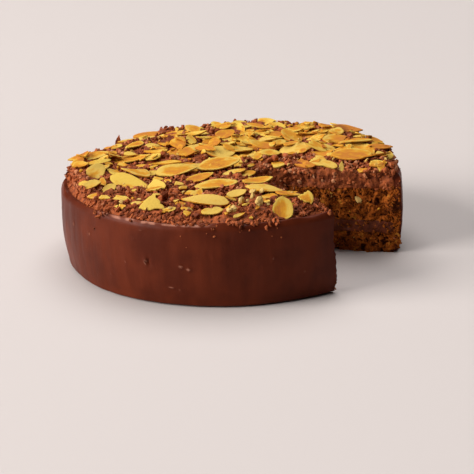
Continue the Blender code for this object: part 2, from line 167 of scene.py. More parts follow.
# Loose crumbs: their edge and widths, those on the rim and the side, and those under flakes
CRUMB_RIM = 0.0976
RIM_WAVE = 0.0008
RIM_WAVELENGTH = 0.013
RIM_SEED = 33
CRUMB_SPREAD = 0.48
CRUMB_WIDTHS = (0.0009, 0.0042)
RUBBLE_COUNT = 130
HEAP_RING = (0.0915, 0.0978)
STRAY_TOP = 0.0452
STRAY_FALL = 0.012
LUMP_REACH = 0.0990
PROP_COUNT = 26
PROP_RIM = 0.0975
PROP_SIZES = (0.0022, 0.0050)

# Crumbs on the faces of the cut
EDGE_REACH = (0.004, 0.097)
LAYER_REACH = (0.004, 0.095)
COAT_ENDS = (0.0948, 0.0990)
END_HEIGHTS = (0.002, 0.045)
TORN_REACH = (0.004, 0.0945)
TORN_HEIGHTS = (0.001, 0.0385)
TORN_CRUMBS = 900
DRAGGED_CRUMBS = (330, 110)

# Ranges of widths, in mm
EDGE_WIDTHS = (1.6, 4.4)
LAYER_WIDTHS = (1.2, 3.6)
END_WIDTHS = (0.7, 1.7)
TORN_WIDTHS = (0.8, 2.2)
HEAP_WIDTHS = (1.5, 4.4)
STRAY_WIDTHS = (0.6, 1.6)

# Ranges of widths and of lifts, in metres and as shares of the width
CHIP_WIDTHS = (2.6 * MM, 4.8 * MM)
APEX_WIDTHS = (3.4 * MM, 6.0 * MM)
NIB_WIDTHS = (1.3 * MM, 3.2 * MM)
CRUMB_LIFTS = (-0.05, 0.30)

# Forms of lumps: how far their points are drawn in or out, and the range of their flatness
TORN_FORM = (0.30, (0.5, 0.95))
CRUMB_FORM = (0.36, (0.35, 0.95))
CHIP_FORM = (0.10, (0.5, 0.9))
NIB_FORM = (0.14, (0.55, 0.85))

# How crumbs and chips are pressed under flakes, and the pores of the sponge
CHIP_PRESS = 1.35
PRESS_SHARE = 0.42
PRESS_GAP = 0.0005
PRESS_REACH = 0.0035
PORE_SIZE = 0.0032
PORE_SHARE = 0.4

# Where the crumbs' tone carries painted light round the cut's apex and painted shade along the front rim:
# middle and width across, and how much; start and full along
APEX_PAINTED_LIGHT = (0.036, 0.028, 0.24)
FRONT_PAINTED_SHADE = (-0.045, -0.080, 0.20)

# Domes of the torn faces: height in mm, level and size of their cells, and the shift of their seed
SPONGE_DOMES = ((1.0, 0.42, 0.0056, 75), (1.0, 0.45, 0.0021, 73), (0.6, 0.42, 0.0011, 74))
BED_DOMES = ((1.7, 0.42, 0.0058, 92), (1.1, 0.42, 0.0030, 90), (0.6, 0.42, 0.0015, 91))

# How far the crumbs stop short of the rim: azimuth in degrees, width in mm
BARE_LIP = (
    (-160, 1.6), (-140, 0.2), (-120, 1.0), (-98, 0.0), (-84, 2.6), (-71, 3.6), (-58, 2.8), (-51, 0.9),
    (-46, 1.4), (-38, 2.6), (-27, 1.6), (-15, 0.9), (-6, 0.2), (13, 0.4), (19, 3.0), (26, 3.8), (33, 3.2),
    (78, 1.8), (92, 0.4), (110, 1.4), (125, 0.2), (150, 2.2), (175, 0.3),
)

# Widest bare lip below which crumbs have fallen, in mm
STRAY_LIP = 1.2

# Where flakes and crumbs are let down at the far rim: azimuth and width in degrees, depth in mm
FAR_DIP = (-169.0, 10.0, 3.0)
FAR_RING = (0.077, 0.087)
DIP_MOST = 0.9

# Where crumbs lie low at the rim: azimuths in degrees where that begins and ends, and radii
LOW_CORNER = ((-110.0, -120.0), (-154.0, -142.0), (0.080, 0.090))

# Where the topping is low or bare: rises from 0 to 1 across or along
BACK_CORNER = ((-0.030, -0.052), (0.010, 0.030))
FAR_PART = ((0.040, 0.070), (0.062, 0.040))

# Azimuths in degrees where the painted highlight on the lip of the rim starts, is full, fades and ends
LIP_HIGHLIGHT = (-53.0, -44.0, -12.0, 0.0)
HIGHLIGHT_REACH = (0.0950, 0.0968)
HIGHLIGHT_HEIGHT = (0.0448, 0.0462)

# The flaked almonds
FLAKE_SIDES = 8
TIP_POWER = 0.6
TIP_SCALE = 0.835
FLAKE_THICKNESS = 0.0012
FLAKE_LIFT = 0.0006
FLAKE_STACK = 0.0010
FLAKE_BITE = 0.0007
STACK_REACH = 0.32
STACK_MOST = 3
FLAKE_COUNT = 58
FLAKE_TRIES = 400
FLAKE_RIM = 0.088
FLAKE_LENGTHS = (0.015, 0.026)
FLAKE_WIDTHS = (0.42, 0.55)
WHOLE_SHARE = 0.6
BROKEN_SHARES = (0.55, 0.85)
SPACING_BACK = 0.0110
SPACING_FRONT = 0.0200
SPACING_RAMP = (0.020, 0.070)
CUT_MARGIN = 0.006

# Further flakes laid by a seeded rule, and how flakes are broken
HEAP_SPARE = 0.0015
LARGE_FLAKE = 0.0095
MORE_TRIES = 60
MORE_RIM = 0.0945
MORE_WIDTHS = (0.30, 0.69)
MORE_INSET = 0.22
MORE_MARGIN = 0.4
MORE_WHOLE = 0.45
MORE_FRONT = -0.030
MORE_FADE = 0.02
BARE_SHARE = 0.88
LEAST_COVER = 6
TOUCHING = 0.08
ROOM_SHARE = 0.34
ROOM_BACK = 0.005
BREAK_AT = (0.45, 0.8)
NOTCH_DEPTH = 0.42
NOTCH_WIDTH = 0.32
NOTCHED_SHARE = 0.18
NOTCH_HEADINGS = (20.0, 340.0)
WOBBLES = ((0.035, 3.0), (0.025, 5.0))
EDGE_NOISE = 0.020

# Looks drawn at random: mean, spread and bounds of toasting, then ranges of heart, tip and tail
TOASTING = (0.36, 0.17)
TOASTING_BOUNDS = (0.0, 0.9)
HEARTS = (-0.05, 0.40)
TIPS = (0.2, 0.8)
TAILS = (0.0, 0.35)

# The height map that flakes are laid on, and how high they may reach
MAP_STEP = 0.0006
MAP_CRUMBS = 0.0009
STEEPEST = 26.0
HIGHEST = 0.0576
LOWER_BEHIND = 0.0022
LOWER_CORNER = 0.0026

# Nibs in each face of the cut: height and reach of the largest and its width in mm, then the others'
CUT_NIB = (0.0315, 0.0745, 6.6)
CUT_NIB_HEIGHTS = ((0.003, 0.010, 2), (0.021, 0.036, 5))
CUT_NIB_REACH = (0.010, 0.092)
CUT_NIB_WIDTHS = (1.4, 2.8)

# Nibs, shards and pale slivers
CHUNKY = 0.004
NIB_RIM = 0.092
SHARD_THICKNESS = 0.0012
SHARD_LOOK = (0.0, 0.0, 0.9, 0.5, 0.0, 0.0)
PALE_LOOK = 0.08

# Further flakes: range of lengths, least distance apart, and share of them that may lie in front
MIDDLE_RULE = ((0.011, 0.023), 0.0066, 0.03)
SMALL_RULE = ((0.0035, 0.009), 0.0040, 0.75)

# Rings of points from the middle of a flake to its rim, and points in each
LARGE_GRID = ((0.45, 0.8, 0.96, 1.0), 28)
SMALL_GRID = ((0.6, 0.94, 1.0), 13)

# One flake: place, lift over the crumbs, heading, size, tilts to the front and to the right, share left;
# and the units of the tables' rows, which give lengths in mm
Flake = namedtuple("Flake", "x y lift turn length width front right share")
FLAKE_UNITS = Flake(MM, MM, MM, 1.0, MM, MM, 1.0, 1.0, 1.0)

# Seeds of the random draws
SPONGE_SEED = 55
LARGE_SEED = 61
MIDDLE_SEED = 62
SMALL_SEED = 63
LOOK_SEED = 64
LARGE_FORM_SEED = 65
SMALL_FORM_SEED = 66
SHARD_SEED = 67
CHUNK_SEED = 71
CRUMB_SEED = 81
CHIP_SEED = 82

# Mean and spread of the other flakes' tilts, in degrees
TILT_TO_FRONT = (4.0, 8.0)
TILT_TO_RIGHT = (0.0, 7.0)
MORE_TO_FRONT = (2.0, 7.5)
MORE_TO_RIGHT = (0.0, 7.5)

# Flakes that show from the front: x, y and lift over the crumbs in mm, heading in degrees, length and
# width in mm, tilt to the front and to the right in degrees, and the share left where one is broken
FRONT_FLAKES = (
    (-57, -32, 2.2, -33, 27, 12.0, 20, 0, 1.0),
    (-79, -11, 3.0, 48, 17, 10.5, 34, 0, 1.0),
    (-84.5, 23, 2.4, 8, 25, 10.0, 12, -4, 1.0),
    (-89, 3, 1.2, -11, 12, 8.0, 10, -6, 0.8),
    (-82, -33, 1.0, 12, 12, 7.0, 10, -4, 0.8),
    (-69, -39, 2.0, 43, 11, 6.0, 32, 0, 0.8),
    (-77, -49, 1.0, 33, 8, 5.0, 18, 0, 0.8),
    (-61, -58, 1.0, -27, 13, 6.5, 8, 0, 0.8),
    (-42, -75, 2.5, 22, 17, 12.5, 28, 0, 0.7),
    (-34, -83, 1.0, 33, 10, 5.0, 12, 0, 0.8),
    (-14, -73, 1.8, -9, 26, 11.0, 11, 2, 1.0),
    (3, -59, 1.5, 27, 12, 7.0, 14, 0, 1.0),
    (-8, -41, 2.0, 13, 25, 12.0, 6, 0, 1.0),
    (-18, -26, 1.2, 35, 19, 8.5, 10, 0, 1.0),
    (-7, -9, 2.5, 19, 26, 13.5, 14, 0, 1.0),
    (-31, -17, 2.5, 13, 24, 12.5, 14, 0, 1.0),
    (-11, 41, 4.0, -3, 12, 11.0, 42, 0, 1.0),
    (27, -87, 3.0, -88, 13, 11.0, 52, 0, 1.0),
    (40, -77, 3.4, -62, 10, 8.5, 46, 0, 0.85),
    (18, -56, 2.5, -18, 21, 11.0, 2, 4, 1.0),
    (15, -38, 2.0, 17, 18, 10.0, 2, 0, 1.0),
    (20, -65, 1.0, 2, 11, 8.0, 5, 0, 0.8),
    (27, -2, 0.8, 14, 10, 8.0, 6, 0, 0.8),
    (53, -7, 1.6, -43, 22, 11.0, 14, 0, 0.8),
    (71, 1, 3.0, 6, 24, 14.0, 13, 3, 1.0),
    (84, -12, 1.5, 6, 13, 9.0, 8, 4, 0.8),
    (72, 56, 5.6, -6, 21, 9.0, 14, 4, 1.0),
    (89, 15, 2.4, 10, 16, 8.0, 6, 6, 1.0),
    (5, 84, 2.6, 28, 14, 9.0, 24, 0, 1.0),
    (-50, 74, 2.6, 10, 23, 10.0, 6, 0, 1.0),
    (-32, 24, 2.0, -31, 17, 10.0, 12, 0, 1.0),
)

# Looks of the flakes above, in the same order: toasting from pale to brown, how much browner the
# middle is, how pointed the tip and the tail are, 1 where they change places, and the heading of a
# notch in degrees or 0 for none
FRONT_LOOKS = (
    (0.00, 0.10, 0.7, 0.2, 0, 0), (0.08, 0.60, 0.2, 0.1, 0, 0), (0.42, 0.40, 0.5, 0.5, 1, 0),
    (0.42, 0.20, 0.5, 0.2, 0, 0), (0.25, 0.10, 0.5, 0.0, 0, 60), (0.06, 0.10, 0.2, 0.2, 0, 0),
    (0.38, 0.20, 0.5, 0.1, 0, 0), (0.15, 0.20, 0.5, 0.1, 0, 0), (-0.10, 0.05, 0.9, 0.0, 1, 0),
    (0.22, 0.20, 0.5, 0.2, 0, 0), (0.04, 0.10, 0.6, 0.3, 1, 0), (0.02, 0.10, 0.3, 0.1, 0, 0),
    (0.22, 0.65, 0.5, 0.2, 0, 0), (0.50, 0.40, 0.5, 0.2, 0, 0), (0.36, 0.60, 0.5, 0.2, 0, 0),
    (0.24, 0.60, 0.4, 0.2, 0, 0), (0.60, 0.10, 0.0, 0.0, 0, 0), (0.27, 0.74, 0.0, 0.0, 0, 0),
    (0.24, 0.50, 0.7, 0.0, 0, 180), (0.12, 0.25, 0.7, 0.6, 0, 0), (0.45, 0.30, 0.5, 0.3, 0, 0),
    (0.42, 0.30, 0.4, 0.2, 0, 0), (0.35, 0.20, 0.1, 0.1, 0, 0), (0.16, 0.20, 0.4, 0.3, 0, 80),
    (0.58, 0.30, 0.5, 0.3, 0, 0), (0.34, 0.20, 0.4, 0.2, 0, 0), (0.95, 0.30, 0.6, 0.2, 0, 0),
    (0.72, 0.30, 0.6, 0.3, 0, 0), (0.16, 0.20, 0.4, 0.2, 0, 0), (0.58, 0.30, 0.5, 0.3, 0, 0),
    (0.44, 0.30, 0.5, 0.2, 0, 0),
)

# Seeded large flakes left out, because the front is barer there
BARE_FLAKES = (37, 61, 65, 74, 75, 79)

# Small broken flakes that show from the front, in the same units as the large ones
FRONT_SLIVERS = (
    (-28, -70, 0.9, 20, 9, 5.0, 12, 0, 0.8),
    (-52, -68, 0.8, 15, 8, 5.0, 10, 0, 0.8),
    (-70, -55, 0.8, -20, 7, 4.6, 14, 0, 0.9),
    (-66, -22, 1.0, -35, 10, 5.0, 8, 0, 0.8),
    (30, -66, 0.9, -10, 8, 6.0, 8, 0, 0.8),
    (60, 8, 1.2, 20, 9, 5.0, 8, 0, 0.8),
    (88, -2, 1.2, -25, 8, 5.0, 12, 8, 0.9),
    (76, -14, 0.9, 30, 7, 4.6, 14, 0, 0.9),
    (64, -12, 1.6, 84, 7, 3.2, 58, 0, 1.0),
    (-79, -38, 1.8, 14, 13, 7.0, 32, 0, 0.8),
    (-90, 9, 1.8, 60, 11, 7.0, 28, -4, 0.8),
    (-73, -31, 1.6, -60, 9, 5.0, 22, 0, 0.9),
    (-47, -67, 1.2, 40, 8, 4.0, 26, 0, 0.9),
    (-25, -79, 1.0, -25, 9, 4.2, 20, 0, 0.8),
    (-44, -47, 1.6, 10, 12, 5.0, 14, 0, 0.8),
    (-22, -52, 1.4, -20, 11, 5.0, 16, 0, 0.8),
    (33, -55, 1.4, 25, 9, 4.4, 24, 0, 0.9),
    (47, -8, 2.4, 35, 13, 6.0, 24, 0, 0.8),
    (86, -16, 2.0, 50, 9, 5.0, 40, 6, 0.8),
    (93, 3, 2.0, 80, 10, 6.0, 20, 10, 0.9),
    (87, 31, 1.6, -34, 14, 7.0, 8, 8, 0.9),
    (86, 44, 2.6, 20, 16, 7.0, 8, 10, 1.0),
    (-30, -36, 1.2, -20, 8, 4.6, 10, 0, 0.7),
    (-45, -14, 1.4, 30, 11, 5.6, 14, 0, 0.7),
    (-42, -23, 1.2, -15, 8, 4.4, 16, 0, 0.8),
    (-50, -38, 1.0, 70, 6, 3.8, 12, 0, 0.8),
    (-48.1, 38.8, 1.6, 12, 11, 7, 22, 0, 0.9),
    (-60, 21.8, 1.4, -8, 9, 5, 14, 0, 0.9),
    (8.2, -17.6, 1.8, 20, 13, 6.5, 16, 0, 0.8),
    (15.7, 6.1, 1.6, 60, 10, 6, 16, 0, 0.8),
    (-64.5, 5.4, 1.4, -20, 8, 5, 16, 0, 0.8),
    (-26.4, 16.7, 2.2, 10, 14, 8, 20, 0, 0.8),
    (-9.7, -11, 2, 26, 12, 7, 18, 0, 0.8),
    (-31.6, -11.8, 1.8, -30, 10, 6, 14, 0, 0.7),
    (-74, -1.4, 1.2, 30, 8, 5, 16, 0, 0.8),
    (-10.5, -87, 2.0, 6, 12, 5.4, 30, 0, 1.0),
)

# Small flakes that are paler than the rest: x and y in mm
PALE_SLIVERS = (
    (-79, -38), (-47, -67), (-52, -68), (60, 8), (-48.1, 38.8), (-60, 21.8), (-10.5, -87), (-50, -38),
)

# Thin pieces of dark chocolate that stand in the crumbs, in the same units as the flakes
SHARDS = (
    (-70, 71, 3.0, 84, 10, 4.4, 70, 0, 0.72),
    (-66, 73, 1.2, 40, 8, 4.6, 46, 0, 0.6),
    (4, 89, 1.6, 95, 8, 4.4, 56, 0, 0.65),
    (70, 62, 1.4, 70, 8, 4.0, 50, 0, 0.65),
    (89, 22, 1.6, 60, 8, 4.0, 36, 22, 0.65),
    (-58, -8, 1.4, 20, 9, 4.6, 32, 0, 0.6),
    (24, -49, 1.2, -30, 8, 4.4, 34, 0, 0.6),
    (46, 3, 1.4, 10, 9, 4.8, 28, 0, 0.6),
    (-36, 52, 1.6, 120, 9, 4.8, 42, 10, 0.6),
    (-86, 30, 1.4, 100, 8, 4.4, 28, -26, 0.6),
    (36, 78, 1.4, 160, 8, 4.4, 36, 12, 0.6),
)

# Larger crumbs that hang over the rim: azimuth in degrees, height and width in mm
RIM_LUMPS = (
    (-47.8, 44.3, 4.4), (-46.3, 46.4, 3.6), (-49.5, 46.0, 3.0), (10.4, 44.4, 3.4), (11.4, 45.8, 3.0),
    (2.2, 45.6, 3.2), (-6.3, 45.2, 2.6), (-44.6, 47.0, 2.8), (31.8, 46.6, 3.0), (-33.6, 46.4, 2.4),
    (13.4, 45.4, 2.6), (96.0, 45.4, 3.4), (118.0, 44.8, 3.4), (121.0, 46.0, 2.8), (152.0, 45.0, 3.0),
    (-160.0, 44.8, 3.4), (-163.0, 46.0, 3.0), (-122.0, 45.0, 3.0), (-98.0, 44.6, 3.2),
)

# Marks in the iced side: azimuth in degrees, height, width, tallness and depth in mm (minus is a dent)
SIDE_MARKS = (
    (-28.4, 24.6, 0.9, 2.6, 0.7),
    (-27.2, 25.0, 1.2, 3.6, -1.0),
    (-36.0, 22.8, 0.7, 1.4, 0.5),
    (-53.1, 32.2, 1.1, 1.5, 0.5),
    (-32.3, 36.5, 1.0, 0.9, 0.4),
    (-16.6, 23.8, 2.0, 1.2, 0.6),
    (-14.2, 22.4, 1.8, 1.4, 0.6),
    (-20.2, 11.4, 3.0, 0.8, 0.5),
    (-17.4, 10.2, 1.2, 1.2, 0.4),
    (-29.8, 42.2, 2.6, 0.6, 0.4),
    (-7.3, 30.2, 0.8, 3.4, -0.4),
    (-1.0, 39.0, 1.4, 3.0, -0.3),
    (-43.0, 13.0, 1.4, 1.0, 0.3),
    (-64.0, 33.0, 1.6, 2.4, 0.4),
    (12.0, 27.0, 1.0, 1.6, 0.4),
    (22.0, 17.0, 1.6, 1.0, 0.4),
    (100.0, 24.0, 2.4, 2.0, 0.5),
    (118.0, 35.0, 1.2, 1.2, 0.5),
    (131.0, 17.0, 1.4, 3.4, -0.5),
    (158.0, 31.0, 3.0, 1.0, 0.5),
    (176.0, 21.0, 1.0, 1.6, 0.5),
    (-171.0, 12.0, 1.2, 3.0, 0.4),
    (-140.0, 27.0, 2.2, 1.2, 0.5),
    (-126.0, 36.0, 1.0, 1.0, 0.5),
    (-112.0, 19.0, 1.2, 3.6, -0.5),
    (-88.0, 30.0, 2.6, 1.0, 0.4),
)

# Chunky nibs that show from the front: x, y and width in mm
FRONT_NIBS = (
    (0.6, -88.5, 5.2), (-1.6, -90, 4.2), (5.4, -80, 5.4), (15.2, -84.5, 6.4), (11.5, -71.5, 5.4),
    (11.6, -63.4, 5.2), (16.5, -62.3, 4.4), (9, -68, 3.6), (19, -84, 3.4), (-33, -82, 3.2), (-51, -63, 3.6),
    (-69, -35, 3.6), (-23, -84, 3.2), (24, -71, 3.2), (84, -15, 3.8), (79, -6, 3.6), (90, -9, 3.2),
    (-86, -14, 3.4), (-60, -66, 3.2), (60, -3, 3.0), (33, -62, 3.0),
)

# How often the cells' points repeat, how near points are merged, and how sharp a crisp edge is
CELL_WRAP = 128
WELD = 0.000002
SHARP_ANGLE = math.radians(42.0)

# Sockets of the Mix node when it blends colours
MIX_FACTOR, MIX_FIRST, MIX_SECOND, MIX_RESULT = 0, 6, 7, 2

# The floor's half width, the camera's fit to the photograph's frame, and its distance from the cake's middle
FLOOR_HALF = 14.0
CAMERA_PITCH = math.radians(19.0)
CAMERA_ROLL = math.radians(-2.4)
CAMERA_DISTANCE = 0.90
CAMERA_LENS = 114.9
CAMERA_SENSOR = 36.0
CAMERA_CLIP = (0.05, 40.0)
CAMERA_AIM = (0.0020, 0.0, 0.0062)

# Soft lights: name, place, what they point at, size and colour
LIGHTS = (
    ("window", (-3.15, -0.84, 1.65), (0.0, 0.0, 0.03), 2.2, (1.0, 0.965, 0.93)),
    ("overhead", (0.15, 1.65, 4.05), (0.0, 0.0, 0.0), 4.0, (1.0, 0.98, 0.97)),
    ("backdrop", (0.0, 1.5, 6.0), (0.0, 1.5, 0.0), 7.0, (1.0, 0.98, 0.97)),
)
SURROUND_COLOUR = (1.0, 0.965, 0.95, 1.0)


def length_property(name, description, default, least, most):
    """One length that a user may change."""
    return FloatProperty(
        name=name, description=description, default=default, min=least, max=most, unit="LENGTH", precision=5,
    )


def count_property(name, description, default, most):
    """One count that a user may change."""
    return IntProperty(name=name, description=description, default=default, min=0, max=most)


def colour_property(name, description, default):
    """One colour that a user may change."""
    return FloatVectorProperty(
        name=name, description=description, default=default, size=3, min=0.0, max=1.0, subtype="COLOR",
    )


def power_property(name, description, default):
    """Power of one light."""
    return FloatProperty(
        name=name, description=description, default=default, min=0.0, max=2000.0, unit="POWER",
    )


class CakeSizes(bpy.types.PropertyGroup):
    """Sizes and counts of the cake's finish."""

    crumb_spacing: length_property("Crumb spacing", "Mean distance between crumbs", 0.0020, 0.0012, 0.006)
    crumb_size: length_property("Crumb size", "Width of a middling crumb", 0.0025, 0.0008, 0.005)
    rim_crumbs: count_property("Rim crumbs", "Crumbs heaped up just inside the rim", 1100, 4000)
    stray_crumbs: count_property("Stray crumbs", "Small crumbs that cling to the iced side", 100, 600)
    chip_count: count_property("Chips", "Chopped pieces of chocolate between the crumbs", 170, 600)
    flake_thickness: length_property("Flake thickness", "Thickness of a sliced almond", 0.0008, 0.0004, 0.002)
    flake_curl: FloatProperty(
        name="Flake curl", description="How far a flake's ends rise or sink, as a share of its length",
        default=0.045, min=0.0, max=0.15,
    )
    middle_flakes: count_property("Middling flakes", "Further flakes laid over the back of the top", 112, 240)
    small_flakes: count_property("Broken flakes", "Small broken flakes all over the top", 130, 500)
    nib_count: count_property("Nibs", "Chopped bits of almond among the crumbs", 130, 600)
    sponge_relief: length_property("Sponge relief", "Depth of the pores in the sponge", 0.0017, 0.0, 0.003)
    smear_depth: length_property("Smear depth", "Depth of the palette knife's marks", 0.00006, 0.0, 0.001)


class CakeColours(bpy.types.PropertyGroup):
    """Colours of the foods and the floor."""

    icing: colour_property("Icing", "Smooth chocolate icing", (0.116, 0.0198, 0.0066))
    icing_dark: colour_property("Icing, dark", "Darker streaks in the icing", (0.072, 0.0118, 0.0043))
    # Pale dabs in the icing; the same colour paints a highlight on the lip of the rim, and pale patches at
    # the foot that are partly a painted reflection.
    icing_mark_and_highlight: colour_property("Icing, marks", "Pale dabs, the painted highlight on the lip and the foot's patches, partly a painted reflection", (0.400, 0.1700, 0.1100))
    crumb: colour_property("Crumbs", "Crumbled chocolate", (0.385, 0.0950, 0.0260))
    # The darkest crumbs; the same brown paints shade in the chocolate layer's hollows and pits.
    crumb_dark_and_shade: colour_property("Crumbs, dark", "The darkest crumbs", (0.155, 0.0310, 0.0085))
    crumb_light: colour_property("Crumbs, light", "The palest crumbs", (0.540, 0.240, 0.115))
    almond: colour_property("Almond", "Pale flaked almond", (0.640, 0.425, 0.0700))
    almond_gold: colour_property("Almond, gold", "Lightly toasted almond", (0.590, 0.268, 0.0215))
    almond_orange: colour_property("Almond, orange", "Toasted almond", (0.500, 0.180, 0.0260))
    almond_brown: colour_property("Almond, brown", "Well toasted almond", (0.300, 0.1000, 0.0200))
    nib: colour_property("Nibs", "Chopped almond", (0.600, 0.400, 0.1300))
    sponge: colour_property("Sponge", "Orange-brown sponge", (0.350, 0.0860, 0.0100))
    # The darkest sponge; the same brown paints shade between the grains and in the pores.
    sponge_dark_and_shade: colour_property("Sponge, dark", "Pores and the darkest crumbs", (0.055, 0.0100, 0.0022))
    sponge_light: colour_property("Sponge, light", "The palest crumbs in the sponge", (0.500, 0.200, 0.0270))
    filling: colour_property("Filling", "Chocolate fudge filling", (0.100, 0.0200, 0.0070))
    floor: colour_property("Floor", "Pale floor", (0.575, 0.527, 0.512))


class CakeLight(bpy.types.PropertyGroup):
    """Strength of the studio lights."""

    window: power_property("Window", "Power of the soft light from the left", 205.0)
    overhead: power_property("Overhead", "Power of the large light above and behind", 165.0)
    backdrop: power_property("Backdrop", "Power of the wide light high above the floor", 46.0)
    surround: FloatProperty(
        name="Surround", description="Strength of the light from all round", default=0.04, min=0.0, max=3.0,
    )


def plan(radius, azimuth):
    """Across and along of what lies at a radius and at an azimuth from the front."""
    return radius * np.sin(azimuth), -radius * np.cos(azimuth)


def random_spots(rim, draw, count=None):
    """Points drawn evenly over a disc, or one point."""
    radius = rim * np.sqrt(draw.uniform(size=count))
    return plan(radius, draw.uniform(0.0, math.tau, count))


def ripple(across, along, wavelength, seed, waves=9):
    """Sum of plane waves of about one wavelength in scattered directions, within about -1 to 1."""
    draw = np.random.default_rng(seed)
    total = np.zeros(np.broadcast(across, along).shape)
    for _ in range(waves):
        angle = draw.uniform(0.0, math.tau)
        pitch = math.tau / (wavelength * draw.uniform(0.75, 1.35))
        phase = draw.uniform(0.0, math.tau)
        total += np.sin(pitch * (across * math.cos(angle) + along * math.sin(angle)) + phase)
    return total / math.sqrt(waves)


def cells(across, along, size, seed):
    """Distance, in cells, to the nearest of points jittered on a square grid, and that point's draw."""
    table = np.random.default_rng(seed).random((3, CELL_WRAP, CELL_WRAP))
    u, v = np.asarray(across) / size, np.asarray(along) / size
    column, row = np.floor(u).astype(int), np.floor(v).astype(int)
    nearest, chosen = np.full(u.shape, 9.0), np.zeros(u.shape)
    for step in range(9):
        i, j = column + step // 3 - 1, row + step % 3 - 1
        wrapped = i % CELL_WRAP, j % CELL_WRAP
        distance = np.hypot(i + table[0][wrapped] - u, j + table[1][wrapped] - v)
        closer = distance < nearest
        nearest = np.where(closer, distance, nearest)
        chosen = np.where(closer, table[2][wrapped], chosen)
    return nearest, chosen


def smooth_step(low, high, value):
    """Rise from 0 to 1 between two values, as three squares less two cubes."""
    share = np.clip((value - low) / (high - low), 0.0, 1.0)
    return share * share * (3.0 - 2.0 * share)


def flat_face(level):
    """Make a face at one height all over."""
    return lambda across, along: np.full(np.broadcast(across, along).shape, level)


def filling_floor(across, along):
    """Height of the wavy face between the lower sponge and the filling."""
    return LOWER_SPONGE_TOP + LAYER_WAVE * ripple(across, along, FLOOR_WAVELENGTH, seed=3)


def filling_ceiling(across, along):
    """Height of the wavy face between the filling and the upper sponge."""
    return FILLING_TOP + LAYER_WAVE * ripple(across, along, CEILING_WAVELENGTH, seed=5)


def side_radius(height):
    """Radius of the iced side, drawn in parabolically below and above its belly."""
    below = CAKE_RADIUS - FOOT_DRAW_IN * (1.0 - height / BELLY_HEIGHT) ** 2
    above = CAKE_RADIUS - TOP_DRAW_IN * ((height - BELLY_HEIGHT) / (ICING_TOP - BELLY_HEIGHT)) ** 2
    return np.where(height < BELLY_HEIGHT, below, above)


SHOULDER_LOW = ICING_TOP - SHOULDER_DROP
SHOULDER_OUTER = float(side_radius(SHOULDER_LOW))


def shoulder_level(radius):
    """Height of the coat's top at a radius: flat, then a squarish quarter ellipse down to the side."""
    reached = np.clip(1.0 - (SHOULDER_OUTER - radius) / SHOULDER_WIDTH, 0.0, 1.0)
    return SHOULDER_LOW + SHOULDER_DROP * (1.0 - reached ** SHOULDER_POWER) ** (1.0 / SHOULDER_POWER)


def cut_direction(azimuth):
    """Unit vector from the centre along an azimuth, and the one square to it."""
    angle = math.radians(azimuth)
    return np.array([math.sin(angle), -math.cos(angle)]), np.array([math.cos(angle), math.sin(angle)])


def cut_distance(across, along):
    """Distance on the top from the nearer line of the cut."""
    nearest = np.hypot(across, along)
    for azimuth in CUT_AZIMUTHS:
        outward, square = cut_direction(azimuth)
        reach = across * outward[0] + along * outward[1]
        aside = np.abs(across * square[0] + along * square[1])
        nearest = np.where(reach > 0.0, np.minimum(nearest, aside), nearest)
    return nearest


def outside_cut(x, y, margin):
    """True where a point of the top is clear of the missing slice by a margin."""
    squares = [cut_direction(azimuth)[1] for azimuth in CUT_AZIMUTHS]
    first, second = (np.asarray(x * square[0] + y * square[1]) for square in squares)
    return ~((first > -margin) & (second < margin))


def crumb_height(across, along):
    """Height of the crumb topping: bumps on a bed, deeper at the back, thin at the rim and the cut."""
    share = np.clip((CRUMB_RADIUS - np.hypot(across, along)) / CRUMB_TAPER, 0.0, 1.0)
    share = share * (2.0 - share)
    crumbled = np.clip(cut_distance(across, along) / CUT_CRUMBLE, 0.0, 1.0)
    front, back = CRUMB_DEPTHS
    depth = front + (back - front) * np.clip(0.5 + along / CAKE_RADIUS, 0.0, 1.0)
    bed = depth * (CUT_CRUMBLE_LEFT + (1.0 - CUT_CRUMBLE_LEFT) * crumbled)
    for index, (part, wavelength) in enumerate(BUMP_WAVES):
        bed = bed + CRUMB_BUMP * part * ripple(across, along, wavelength, BUMP_SEED + index)
    return ICING_TOP - CRUMB_SINK * (1.0 - share) + bed * share


def bare_lip(azimuth):
    """How far the crumbs stop short of the rim, straight from point to point of its table."""
    where, width = np.array(BARE_LIP, dtype=float).T
    return MM * np.interp(np.degrees(azimuth), where, width, period=360.0)


def crumb_pile(across, along):
    """Extra height of the loose crumbs heaped up inside the rim: low in front and next to the cut, wavy."""
    radius = np.hypot(across, along) + bare_lip(np.arctan2(across, -along))
    ring = smooth_step(*PILE_START, radius) * (1.0 - smooth_step(*PILE_EDGE, radius))
    clear = smooth_step(*PILE_CLEAR, cut_distance(across, along))
    share = PILE_FRONT_SHARE + (1.0 - PILE_FRONT_SHARE) * smooth_step(*PILE_BEHIND, along)
    waves = 1.0 + PILE_WAVE * ripple(across, along, PILE_WAVELENGTH, PILE_SEED)
    return PILE_RISE * ring * share * (0.5 + 0.5 * clear) * waves


def low_corner(across, along):
    """1 at the rim behind on the left, where the crumbs lie low, and 0 away from it."""
    azimuth = np.degrees(np.arctan2(across, -along))
    begins, ends, ring = LOW_CORNER
    part = smooth_step(*begins, azimuth) * smooth_step(*ends, azimuth)
    return part * smooth_step(*ring, np.hypot(across, along))


def far_dip(across, along):
    """How far flakes are let down at the far rim: a bell over the azimuth, and none inside the rim."""
    centre, width, depth = FAR_DIP
    azimuth = np.degrees(np.arctan2(across, -along))
    bell = np.exp(-((azimuth - centre) / width) ** 2)
    return depth * MM * bell * smooth_step(*FAR_RING, np.hypot(across, along))


def crumb_dip(across, along):
    """The same for crumbs, which sink at most nine tenths of the height that they are heaped up."""
    return np.minimum(far_dip(across, along), DIP_MOST * crumb_pile(across, along))


def topping_level(across, along):
    """Height that a crumb rests on: the bed or the shoulder, whichever is higher, and the heap on it."""
    low = low_corner(across, along)
    shoulder = shoulder_level(np.hypot(across, along)) - SHOULDER_SINK
    level = np.maximum(crumb_height(across, along) - CORNER_SINK * low, shoulder)
    return level + crumb_pile(across, along) * (1.0 - low)


